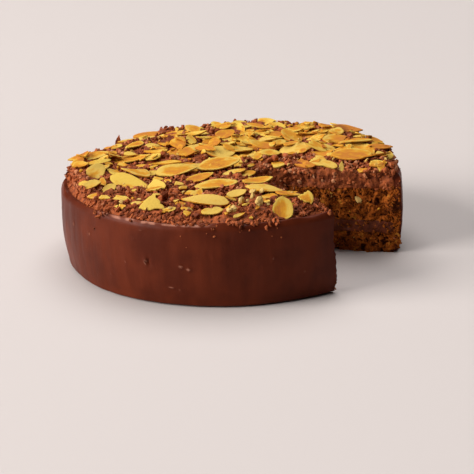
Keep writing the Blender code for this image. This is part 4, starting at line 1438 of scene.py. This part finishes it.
def chopped(count, draw):
    """Centres and widths of chips: the solids' large ones, smaller ones, and lumps beside the cut's apex."""
    solid = np.random.default_rng(CHUNK_SEED)
    spots = []
    for _ in range(CHUNK_COUNT):
        radius, angle = solid.uniform(*CHUNK_RING), math.radians(solid.uniform(*CHUNK_AZIMUTHS))
        x, y = plan(radius, angle)
        size = solid.uniform(*CHUNK_SIZES)
        if outside_cut(x, y, size):
            solid.uniform(*CHUNK_STRETCH, CHUNK_CORNERS)
            centre = (x, y, float(crumb_height(x, y)) + CHUNK_LIFT * size)
            spots.append((np.array([centre]), np.array([size])))
    x, y = random_spots(CHIP_RIM, draw, count)
    width = draw.uniform(*CHIP_WIDTHS, count)
    keep = outside_cut(x, y, 0.5 * width)
    spots.append((on_topping(x, y, width, 0.2)[keep], width[keep]))
    x, y = (draw.uniform(*span, APEX_LUMPS) for span in APEX_SPOT)
    lump = draw.uniform(*APEX_WIDTHS, APEX_LUMPS)
    apart = outside_cut(x, y, 0.5 * lump)
    spots.append((on_topping(x, y, lump, 0.22)[apart], lump[apart]))
    return joined(spots)


def lowered(points):
    """The same crumbs, let down along the far rim."""
    return np.column_stack([points[:, :2], points[:, 2] - crumb_dip(points[:, 0], points[:, 1])])


def press_under(points, sizes, rows):
    """Lower the crumbs that would poke into or through a flake until they lie under it."""
    points = points.copy()
    for row in rows:
        place = np.array(flake_place(row))
        local = (points - place[:3, 3]) @ place[:3, :3]
        along, across = local[:, 0] / (0.5 * row.length), local[:, 1] / (0.5 * row.width)
        inside = (along ** 2 + across ** 2 < 1.0) & (along > 1.05 - 2.0 * row.share)
        poke = local[:, 2] + PRESS_SHARE * sizes + PRESS_GAP
        points[:, 2] -= np.where(inside & (poke > 0.0) & (local[:, 2] < PRESS_REACH), poke, 0.0)
    return points


def painted_shade_and_light(points):
    """Shift of the crumbs' tone: painted shade along the front rim, painted light in a bell round the cut's
    apex.
    """
    x, y = points[:, 0], points[:, 1]
    middle, width, paler = APEX_PAINTED_LIGHT
    start, full, darker = FRONT_PAINTED_SHADE
    bell = np.exp(-((x - middle) ** 2 + y ** 2) / width ** 2)
    return paler * bell - darker * smooth_step(start, full, y)


def beside_nibs(points):
    """True for crumbs that don't lie where a chunky nib shows."""
    x, y, width = MM * np.array(FRONT_NIBS).T
    reach = np.hypot(points[:, :1] - x, points[:, 1:2] - y)
    return np.all((reach > 0.65 * width) | (width < CHUNKY), axis=1)


def new_piece(name, mesh, material, smooth=True, nodes=()):
    """Show a mesh as a named piece of the cake's body, with its material."""
    piece = bpy.data.objects.new(name, mesh)
    bpy.context.scene.collection.objects.link(piece)
    mesh.materials.append(material)
    mesh.polygons.foreach_set("use_smooth", np.full(len(mesh.polygons), smooth))
    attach(piece, BODY)
    if nodes:
        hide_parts(*nodes)


def crumb_piece(name, spots, form, material):
    """Show lumps of chocolate as one piece, each lump in its own tone, shifted by painted shade along the
    front rim and painted light round the cut's apex.
    """
    points, faces, tone = lumps(*spots, *form)
    mesh = mesh_from(name, points, faces, tone=tone + painted_shade_and_light(points))
    new_piece(name, mesh, material, smooth=False)


def start_material(name, roughness, gloss):
    """New Principled material, and the object coordinates in its node tree."""
    material = bpy.data.materials.new(name)
    material.use_nodes = True
    inputs = material.node_tree.nodes["Principled BSDF"].inputs
    inputs["Roughness"].default_value = roughness
    inputs["Specular IOR Level"].default_value = gloss
    return material, material.node_tree.nodes.new("ShaderNodeTexCoord").outputs["Object"]


def add_node(tree, kind, inputs, **settings):
    """New shader node whose inputs each take a plain value or another node's output; returns its outputs."""
    node = tree.nodes.new("ShaderNode" + kind)
    for key, value in settings.items():
        setattr(node, key, value)
    for key, value in inputs.items():
        if isinstance(value, bpy.types.NodeSocket):
            tree.links.new(value, node.inputs[key])
        else:
            node.inputs[key].default_value = value
    return node.outputs


def add_noise(place, scale, detail=2.0):
    """Noise on coordinates, with features of about one part in `scale` of a metre."""
    return add_node(place.id_data, "TexNoise", {"Vector": place, "Scale": scale, "Detail": detail})["Fac"]


def add_cells(place, scale):
    """Outputs of a cell pattern: the distance to the nearest point, and a random colour for each cell."""
    return add_node(place.id_data, "TexVoronoi", {"Vector": place, "Scale": scale})


def add_value(place, name):
    """Value kept at the piece's points under a name."""
    return add_node(place.id_data, "Attribute", {}, attribute_name=name)["Fac"]


def add_math(operation, first, second):
    """Sum, product or other operation on a value and a second one, which may be a plain number."""
    return add_node(first.id_data, "Math", {0: first, 1: second}, operation=operation)["Value"]


def add_range(value, low, high, to_low=0.0, to_high=1.0):
    """Smooth rise of a value from one range to another."""
    inputs = {"Value": value, "From Min": low, "From Max": high, "To Min": to_low, "To Max": to_high}
    return add_node(value.id_data, "MapRange", inputs, interpolation_type="SMOOTHSTEP")["Result"]


def add_mix(factor, first, second):
    """Blend of two colours, each a plain colour or another blend."""
    first, second = (
        value if isinstance(value, bpy.types.NodeSocket) else (*value, 1.0) for value in (first, second)
    )
    inputs = {MIX_FACTOR: factor, MIX_FIRST: first, MIX_SECOND: second}
    return add_node(factor.id_data, "Mix", inputs, data_type="RGBA")[MIX_RESULT]


def add_bump(height, distance, under=None):
    """Bump from a height of 0 to 1 that stands for a distance in metres, over another bump if given."""
    inputs = {"Height": height, "Distance": distance, **({"Normal": under} if under else {})}
    return add_node(height.id_data, "Bump", inputs)["Normal"]


def weighted(*terms):
    """Sum of values, each times its weight."""
    total = None
    for value, weight in terms:
        part = value if weight == 1.0 else add_math("MULTIPLY", value, weight)
        total = add_math("ADD", total, part) if total else part
    return total


def coloured(colour, *steps):
    """Chain of colours: each step's value brings its colour in as it rises between two bounds."""
    for value, low, high, further in steps:
        colour = add_mix(add_range(value, low, high), colour, further)
    return colour


def finish_material(material, colour, roughness=None, normal=None):
    """Join colour, roughness and normal to the shader."""
    inputs = material.node_tree.nodes["Principled BSDF"].inputs
    for key, value in (("Base Color", colour), ("Roughness", roughness), ("Normal", normal)):
        if value:
            material.node_tree.links.new(value, inputs[key])
    return material


def icing_material(colours):
    """Satin icing: slow clouds and faint upright streaks in two browns, pale dabs, a painted highlight on the
    lip and pale patches at the foot that are partly a painted reflection, patchy gloss, smears and pinholes.
    """
    material, place = start_material("chocolate_icing", 0.4, 0.08)
    clouds = add_noise(place, 42.0, 3.0)
    upright = add_node(place.id_data, "Mapping", {"Vector": place, "Scale": (1.0, 1.0, 0.22)})["Vector"]
    streaks = add_noise(upright, 190.0, 3.0)
    colour = coloured(
        colours.icing_dark, (weighted((clouds, 0.75), (streaks, 0.25)), 0.34, 0.66, colours.icing),
        (add_value(place, "mark_and_highlight"), 0.15, 0.9, colours.icing_mark_and_highlight),
    )
    pinholes = add_bump(add_range(add_cells(place, 240.0)["Distance"], 0.02, 0.16), 0.00006)
    rough = add_range(streaks, 0.3, 0.7, 0.36, 0.50)
    return finish_material(material, colour, rough, add_bump(streaks, 0.00016, pinholes))


def crumb_material(name, colours):
    """Crumbled chocolate: each crumb's own brown, with the painted shade along the front rim and painted
    light round the cut's apex that its tone carries, mottled, dull, with a grainy surface.
    """
    material, place = start_material(name, 0.62, 0.16)
    mottle = add_noise(place, 420.0, 3.0)
    blend = weighted((add_value(place, "tone"), 0.75), (mottle, 0.5))
    colour = coloured(
        colours.crumb_dark_and_shade, (blend, 0.22, 0.70, colours.crumb), (blend, 0.80, 1.10, colours.crumb_light),
    )
    rough = add_range(mottle, 0.3, 0.7, 0.50, 0.78)
    return finish_material(material, colour, rough, add_bump(add_noise(place, 1500.0), 0.00030))


def bed_material(name, colours):
    """Chocolate layer under the crumbs: lumpy browns on cells, with painted shade in the hollows at the
    cells' edges and in the pits of its torn faces.
    """
    material, place = start_material(name, 0.65, 0.16)
    lump, mottle = add_cells(place, 330.0)["Distance"], add_noise(place, 300.0, 4.0)
    # The cells' edges, where the hollows lie, and the pits are painted shade in the darkest brown.
    colour = coloured(
        colours.crumb_dark_and_shade, (mottle, 0.30, 0.66, colours.crumb), (lump, 0.60, 1.00, colours.crumb_dark_and_shade),
        (add_value(place, "pit"), 0.1, 0.7, colours.crumb_dark_and_shade),
    )
    rough = add_range(mottle, 0.3, 0.7, 0.55, 0.80)
    normal = add_bump(add_noise(place, 1300.0, 3.0), 0.00035, add_bump(lump, -0.0006))
    return finish_material(material, colour, rough, normal)


def almond_material(colours):
    """Sliced almond: pale to brown by its toasting, with patches, strokes along it, darker skin and grain."""
    material, place = start_material("flaked_almond", 0.65, 0.05)
    tone = add_value(place, "tone")
    own = {
        "X": add_value(place, "along"), "Y": add_math("MULTIPLY", add_value(place, "across"), 3.0),
        "Z": add_math("MULTIPLY", tone, 5.0),
    }
    strokes = add_noise(add_node(place.id_data, "CombineXYZ", own)["Vector"], 14.0, 3.0)
    skin = add_math("MULTIPLY", add_range(add_value(place, "rim"), 0.95, 1.0), tone)
    patches, grain = add_noise(place, 210.0), add_noise(place, 700.0, 4.0)
    level = weighted((add_value(place, "toast"), 1.0), (patches, 0.8), (strokes, 0.8), (skin, 0.45))
    colour = coloured(
        add_mix(add_math("MULTIPLY", tone, 0.35), colours.almond, colours.nib),
        (level, 0.96, 1.32, colours.almond_gold), (level, 1.22, 1.58, colours.almond_orange),
        (level, 1.60, 2.00, colours.almond_brown),
    )
    rough = add_range(grain, 0.3, 0.7, 0.58, 0.76)
    return finish_material(material, colour, rough, add_bump(grain, 0.00022))


def nib_material(colours):
    """Chopped almond: cream with a gold side, finely grained."""
    material, place = start_material("chopped_almond", 0.65, 0.08)
    blend = weighted((add_value(place, "tone"), 1.0), (add_noise(place, 400.0), 1.0))
    colour = coloured(colours.nib, (blend, 0.7, 1.4, colours.almond_gold))
    return finish_material(material, colour, normal=add_bump(add_noise(place, 1400.0), 0.00015))


def sponge_material(colours):
    """Open sponge: grains on cells, each dark, orange or golden, with painted shade between them and in the
    pores.
    """
    material, place = start_material("open_sponge", 0.85, 0.08)
    grains = add_cells(place, 430.0)
    pick = add_node(place.id_data, "SeparateColor", {"Color": grains["Color"]})["Red"]
    fine = add_noise(place, 700.0, 3.0)
    level = weighted((pick, 0.35), (add_noise(place, 160.0, 4.0), 0.9), (fine, 0.55))
    colour = coloured(
        colours.sponge_dark_and_shade, (level, 0.62, 0.96, colours.sponge), (level, 1.00, 1.32, colours.sponge_light),
        # The gaps between the grains and the pits are painted shade in the darkest brown.
        (grains["Distance"], 0.62, 1.05, colours.sponge_dark_and_shade),
        (add_value(place, "pit"), 0.15, 0.8, colours.sponge_dark_and_shade),
    )
    normal = add_bump(grains["Distance"], -0.0006, add_bump(fine, 0.0005))
    return finish_material(material, colour, normal=normal)


def filling_material(colours):
    """Chocolate fudge: one brown with darker clouds, soft grain."""
    material, place = start_material("fudge_filling", 0.5, 0.18)
    clouds = add_noise(place, 260.0, 4.0)
    colour = coloured(colours.crumb_dark_and_shade, (clouds, 0.32, 0.66, colours.filling))
    rough = add_range(clouds, 0.3, 0.7, 0.42, 0.62)
    return finish_material(material, colour, rough, add_bump(add_noise(place, 1100.0, 3.0), 0.0004))


def floor_material(colours):
    """Pale matt floor with hardly visible clouds."""
    material, place = start_material("pale_floor", 0.9, 0.08)
    shade = [0.985 * part for part in colours.floor]
    return finish_material(material, add_mix(add_noise(place, 3.0), shade, colours.floor))


class CakeIcing(bpy.types.Operator):
    """Coat the side and the shoulder with smeared icing"""

    bl_idname = "cake.icing"
    bl_label = "Icing coat"

    def execute(self, context):
        """Carry the coat's section round and replace the plain icing."""
        shape = coat_shape(context.scene.cake_sizes.smear_depth)
        mesh = carried_round("icing_coat", *coat_section(), COAT_COLUMNS, shape, coat_grain)
        mesh.set_sharp_from_angle(angle=SHARP_ANGLE)
        points = np.empty(3 * len(mesh.vertices), dtype=np.float32)
        mesh.vertices.foreach_get("co", points)
        # Keep how pale each point is painted: raised dabs, the painted highlight on the lip, and the foot's
        # patches, partly a painted reflection.
        keep_values(mesh, "mark_and_highlight", pale_marks_and_highlight(*points.reshape(-1, 3).astype(float).T))
        new_piece("icing_coat", mesh, icing_material(context.scene.cake_colours), nodes=("icing",))
        return {"FINISHED"}


class CakeSponges(bpy.types.Operator):
    """Make both sponges with torn, porous faces at the cut"""

    bl_idname = "cake.sponges"
    bl_label = "Sponges"

    def execute(self, context):
        """Carry both layers round, replace the plain ones, and add the crumbs that cling to them."""
        grain = sponge_grain(context.scene.cake_sizes.sponge_relief)
        material = sponge_material(context.scene.cake_colours)
        above = UPPER_SPONGE_TOP - FILLING_TOP
        for node, name, thickness, floor, ceiling in (
            ("lower_sponge", "sponge_below", LOWER_SPONGE_TOP, flat_face(0.0), filling_floor),
            ("upper_sponge", "sponge_above", above, filling_ceiling, flat_face(UPPER_SPONGE_TOP)),
        ):
            layers = round(thickness / SPONGE_STEP) + 1
            mesh = layer_mesh(name, SPONGE_RADIUS, SPONGE_STEP, layers, LAYER_COLUMNS, floor, ceiling, grain)
            new_piece(name, mesh, material, nodes=(node,))

        draw = np.random.default_rng(SPONGE_SEED)
        spots = []
        for face, dragged in zip(CUT_FACES, DRAGGED_CRUMBS):
            spots.append(clinging(TORN_REACH, TORN_HEIGHTS, TORN_WIDTHS, TORN_CRUMBS, face, grain, draw))
            reach = 0.0940 + 0.0050 * draw.uniform(0.0, 1.0, dragged) ** 1.3
            centres = on_cut(reach, draw.uniform(0.002, 0.0395, dragged), face, coat_grain)
            spots.append((centres, draw.uniform(0.8, 2.3, dragged) * MM))
        points, faces, tone = lumps(*joined(spots), *TORN_FORM, False, draw)
        # Here pit holds each crumb's random tone, not painted shade, so some crumbs are a darker brown.
        mesh = mesh_from("sponge_crumbs", points, faces, pit=0.35 * tone)
        new_piece("sponge_crumbs", mesh, material, smooth=False)
        return {"FINISHED"}


class CakeFilling(bpy.types.Operator):
    """Make the fudge filling between the sponges"""

    bl_idname = "cake.filling"
    bl_label = "Filling"

    def execute(self, context):
        """Carry the filling round and replace the plain one."""
        layers = round((FILLING_TOP - LOWER_SPONGE_TOP) / FILLING_STEP) + 1
        mesh = layer_mesh(
            "fudge_filling", SPONGE_RADIUS, FILLING_STEP, layers, LAYER_COLUMNS,
            filling_floor, filling_ceiling, filling_grain,
        )
        material = filling_material(context.scene.cake_colours)
        new_piece("fudge_filling", mesh, material, nodes=("filling",))
        return {"FINISHED"}


class CakeCrumbs(bpy.types.Operator):
    """Spread the chocolate layer, the loose crumbs and the chopped chips over the top"""

    bl_idname = "cake.crumbs"
    bl_label = "Chocolate crumbs"

    def execute(self, context):
        """Make the layer, crumbs that leave room for the flakes and the nibs, chips, and dark shards."""
        sizes, colours = context.scene.cake_sizes, context.scene.cake_colours
        mesh = layer_mesh(
            "chocolate_layer", CRUMB_RADIUS, BED_STEP, BED_LAYERS, BED_COLUMNS,
            flat_face(UPPER_SPONGE_TOP), bed_top, bed_grain,
        )
        new_piece("chocolate_layer", mesh, bed_material("chocolate_layer", colours))

        draw = np.random.default_rng(CRUMB_SEED)
        x, y = scattered(sizes.crumb_spacing, draw)
        width = np.clip(sizes.crumb_size * np.exp(draw.normal(0.0, CRUMB_SPREAD, x.size)), *CRUMB_WIDTHS)
        spread = on_topping(x, y, width, draw.uniform(*CRUMB_LIFTS, x.size)), width
        chocolate = crumb_material("chocolate_crumb", colours)
        rows = all_flakes(sizes)

        def loose_crumbs(name, spots):
            """Show crumbs as one piece, without those at a nib, pressed down where flakes lie."""
            clear = beside_nibs(spots[0])
            widths = spots[1][clear]
            spots = press_under(lowered(spots[0][clear]), widths, rows), widths
            crumb_piece(name, spots, (*CRUMB_FORM, False, draw, 2), chocolate)

        loose_crumbs("chocolate_crumbs", spread)
        heaped = [rubble(RUBBLE_COUNT, draw), rim_crumbs(sizes.rim_crumbs, sizes.stray_crumbs, draw)]
        loose_crumbs("chocolate_rubble", joined([*heaped, props(rows, draw)]))

        chip_draw = np.random.default_rng(CHIP_SEED)
        centres, widths = chopped(sizes.chip_count, chip_draw)
        spots = press_under(lowered(centres), CHIP_PRESS * widths, rows), widths
        material = crumb_material("chopped_chocolate", colours)
        crumb_piece("chocolate_chips", spots, (*CHIP_FORM, True, chip_draw, 6), material)

        shards = in_metres(SHARDS)
        looks = np.tile(SHARD_LOOK, (len(shards), 1))
        form = flake_forms(shards, looks, *SMALL_GRID, SHARD_THICKNESS, sizes.flake_curl, SHARD_SEED)
        mesh = flake_mesh("chocolate_shards", [form])
        new_piece("chocolate_shards", mesh, bed_material("dark_chocolate", colours))
        return {"FINISHED"}


class CakeAlmonds(bpy.types.Operator):
    """Lay the flaked almonds and the chopped nibs on the crumbs"""

    bl_idname = "cake.almonds"
    bl_label = "Flaked almonds"

    def execute(self, context):
        """Make whole and broken flakes, then nibs."""
        sizes, colours = context.scene.cake_sizes, context.scene.cake_colours
        rows = all_flakes(sizes)
        draw = np.random.default_rng(LOOK_SEED)
        looks = self.flake_looks(rows, draw)
        large = np.array([row.length > LARGE_FLAKE for row in rows])
        batches = []
        kinds = (large, LARGE_GRID, LARGE_FORM_SEED), (~large, SMALL_GRID, SMALL_FORM_SEED)
        for chosen, grid, seed in kinds:
            picked = [row for row, take in zip(rows, chosen) if take]
            form = flake_forms(picked, looks[chosen], *grid, sizes.flake_thickness, sizes.flake_curl, seed)
            batches.append(form)
        new_piece("almond_flakes", flake_mesh("almond_flakes", batches), almond_material(colours))

        x, y = random_spots(NIB_RIM, draw, sizes.nib_count)
        width = draw.uniform(*NIB_WIDTHS, sizes.nib_count)
        keep = outside_cut(x, y, 0.5 * width)
        x, y, width = np.concatenate([np.stack([x, y, width])[:, keep], MM * np.array(FRONT_NIBS).T], axis=1)
        proud = 0.6 * MM + 0.36 * width + (width > CHUNKY) * (0.8 * MM + 0.08 * width)
        spots = [(lowered(np.stack([x, y, topping_level(x, y) + proud], axis=-1)), width)]
        grain = sponge_grain(sizes.sponge_relief)
        for face in CUT_FACES:
            height, reach, width = CUT_NIB
            below, above = (draw.uniform(*span, count) for *span, count in CUT_NIB_HEIGHTS)
            height = np.concatenate([[height], below, above])
            reach = np.concatenate([[reach], draw.uniform(*CUT_NIB_REACH, len(height) - 1)])
            width = np.concatenate([[width * MM], draw.uniform(*CUT_NIB_WIDTHS, len(height) - 1) * MM])
            spots.append((on_cut(reach, height, face, grain), width))
        centres, width = joined(spots)
        points, faces, tone = lumps(centres, width, *NIB_FORM, True, draw, facets=5)
        tone = tone * np.repeat(np.where(width > CHUNKY, 0.2, 1.0), len(tone) // len(width))
        mesh = mesh_from("almond_nibs", points, faces, tone=tone)
        new_piece("almond_nibs", mesh, nib_material(colours), smooth=False)
        return {"FINISHED"}

    def flake_looks(self, rows, draw):
        """Looks of every flake, in the columns of the chosen ones' table: chosen, pale or drawn at random."""
        count = len(rows)
        notched = (draw.uniform(size=count) < NOTCHED_SHARE) * draw.uniform(*NOTCH_HEADINGS, count)
        looks = np.column_stack([
            np.clip(draw.normal(*TOASTING, count), *TOASTING_BOUNDS), draw.uniform(*HEARTS, count),
            draw.uniform(*TIPS, count), draw.uniform(*TAILS, count), np.zeros(count), notched,
        ])
        looks[:len(FRONT_LOOKS)] = FRONT_LOOKS
        places = np.array([row[:2] for row in rows])
        apart = np.linalg.norm(places[:, None] - MM * np.array(PALE_SLIVERS), axis=2).min(axis=1)
        looks[apart < 0.1 * MM, :2] = PALE_LOOK
        return looks


def add_light(name, place, aim, size, colour, power):
    """Soft square light that points from one place to another."""
    light = bpy.data.lights.new(name, "AREA")
    light.size, light.energy, light.color = size, power, colour
    lamp = bpy.data.objects.new(name, light)
    lamp.location = place
    lamp.rotation_euler = (Vector(aim) - Vector(place)).to_track_quat("-Z", "Y").to_euler()
    bpy.context.scene.collection.objects.link(lamp)


class CakeStage(bpy.types.Operator):
    """Set the cake on a plain pale floor in soft light, and place the camera"""

    bl_idname = "cake.stage"
    bl_label = "Floor, light and camera"

    def execute(self, context):
        """Make the floor, the lights, the surround and the camera."""
        scene = context.scene
        corners = FLOOR_HALF * np.array([(-1, -1, 0), (1, -1, 0), (1, 1, 0), (-1, 1, 0)])
        mesh = mesh_from("floor", corners, np.array([[0, 1, 2, 3]]))
        mesh.materials.append(floor_material(scene.cake_colours))
        floor = bpy.data.objects.new("floor", mesh)
        scene.collection.objects.link(floor)

        light = scene.cake_light
        for power, lamp in zip((light.window, light.overhead, light.backdrop), LIGHTS):
            add_light(*lamp, power)
        scene.world = bpy.data.worlds.new("surround")
        scene.world.use_nodes = True
        background = scene.world.node_tree.nodes["Background"]
        background.inputs["Color"].default_value = SURROUND_COLOUR
        background.inputs["Strength"].default_value = light.surround

        camera = bpy.data.cameras.new("camera")
        camera.lens, camera.sensor_width = CAMERA_LENS, CAMERA_SENSOR
        camera.clip_start, camera.clip_end = CAMERA_CLIP
        eye = bpy.data.objects.new("camera", camera)
        forward = Vector((0.0, math.cos(CAMERA_PITCH), -math.sin(CAMERA_PITCH)))
        level = Vector((1.0, 0.0, 0.0))
        upright = level.cross(forward)
        right = math.cos(CAMERA_ROLL) * level + math.sin(CAMERA_ROLL) * upright
        up = -math.sin(CAMERA_ROLL) * level + math.cos(CAMERA_ROLL) * upright
        turn = Matrix((right, up, -forward)).transposed().to_4x4()
        eye.matrix_world = Matrix.Translation(Vector(CAMERA_AIM) - CAMERA_DISTANCE * forward) @ turn
        scene.collection.objects.link(eye)
        scene.camera = eye
        scene.view_settings.view_transform = "Standard"
        scene.view_settings.look = "None"
        return {"FINISHED"}


class CakePanel(bpy.types.Panel):
    """Sidebar panel that lists the cake's settings and makers"""

    bl_idname = "VIEW3D_PT_cake"
    bl_label = "Chocolate layer cake"
    bl_space_type = "VIEW_3D"
    bl_region_type = "UI"
    bl_category = "Cake"

    def draw(self, context):
        """Show the settings, then a button for each maker."""
        for group in (context.scene.cake_sizes, context.scene.cake_colours, context.scene.cake_light):
            box = self.layout.box()
            for key in group.__annotations__:
                box.prop(group, key)
        for maker in MAKERS:
            self.layout.operator(maker.bl_idname)


GROUPS = (CakeSizes, CakeColours, CakeLight)
MAKERS = (CakeIcing, CakeSponges, CakeFilling, CakeCrumbs, CakeAlmonds, CakeStage)


def register():
    """Register the settings, the makers and the panel."""
    for item in (*GROUPS, *MAKERS, CakePanel):
        bpy.utils.register_class(item)
    bpy.types.Scene.cake_sizes = PointerProperty(type=CakeSizes)
    bpy.types.Scene.cake_colours = PointerProperty(type=CakeColours)
    bpy.types.Scene.cake_light = PointerProperty(type=CakeLight)


def unregister():
    """Take everything that register adds out again."""
    del bpy.types.Scene.cake_light
    del bpy.types.Scene.cake_colours
    del bpy.types.Scene.cake_sizes
    for item in reversed((*GROUPS, *MAKERS, CakePanel)):
        bpy.utils.unregister_class(item)


def main():
    """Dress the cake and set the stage."""
    register()
    bpy.ops.cake.icing()
    bpy.ops.cake.sponges()
    bpy.ops.cake.filling()
    bpy.ops.cake.crumbs()
    bpy.ops.cake.almonds()
    bpy.ops.cake.stage()


if __name__ == "__main__":
    main()
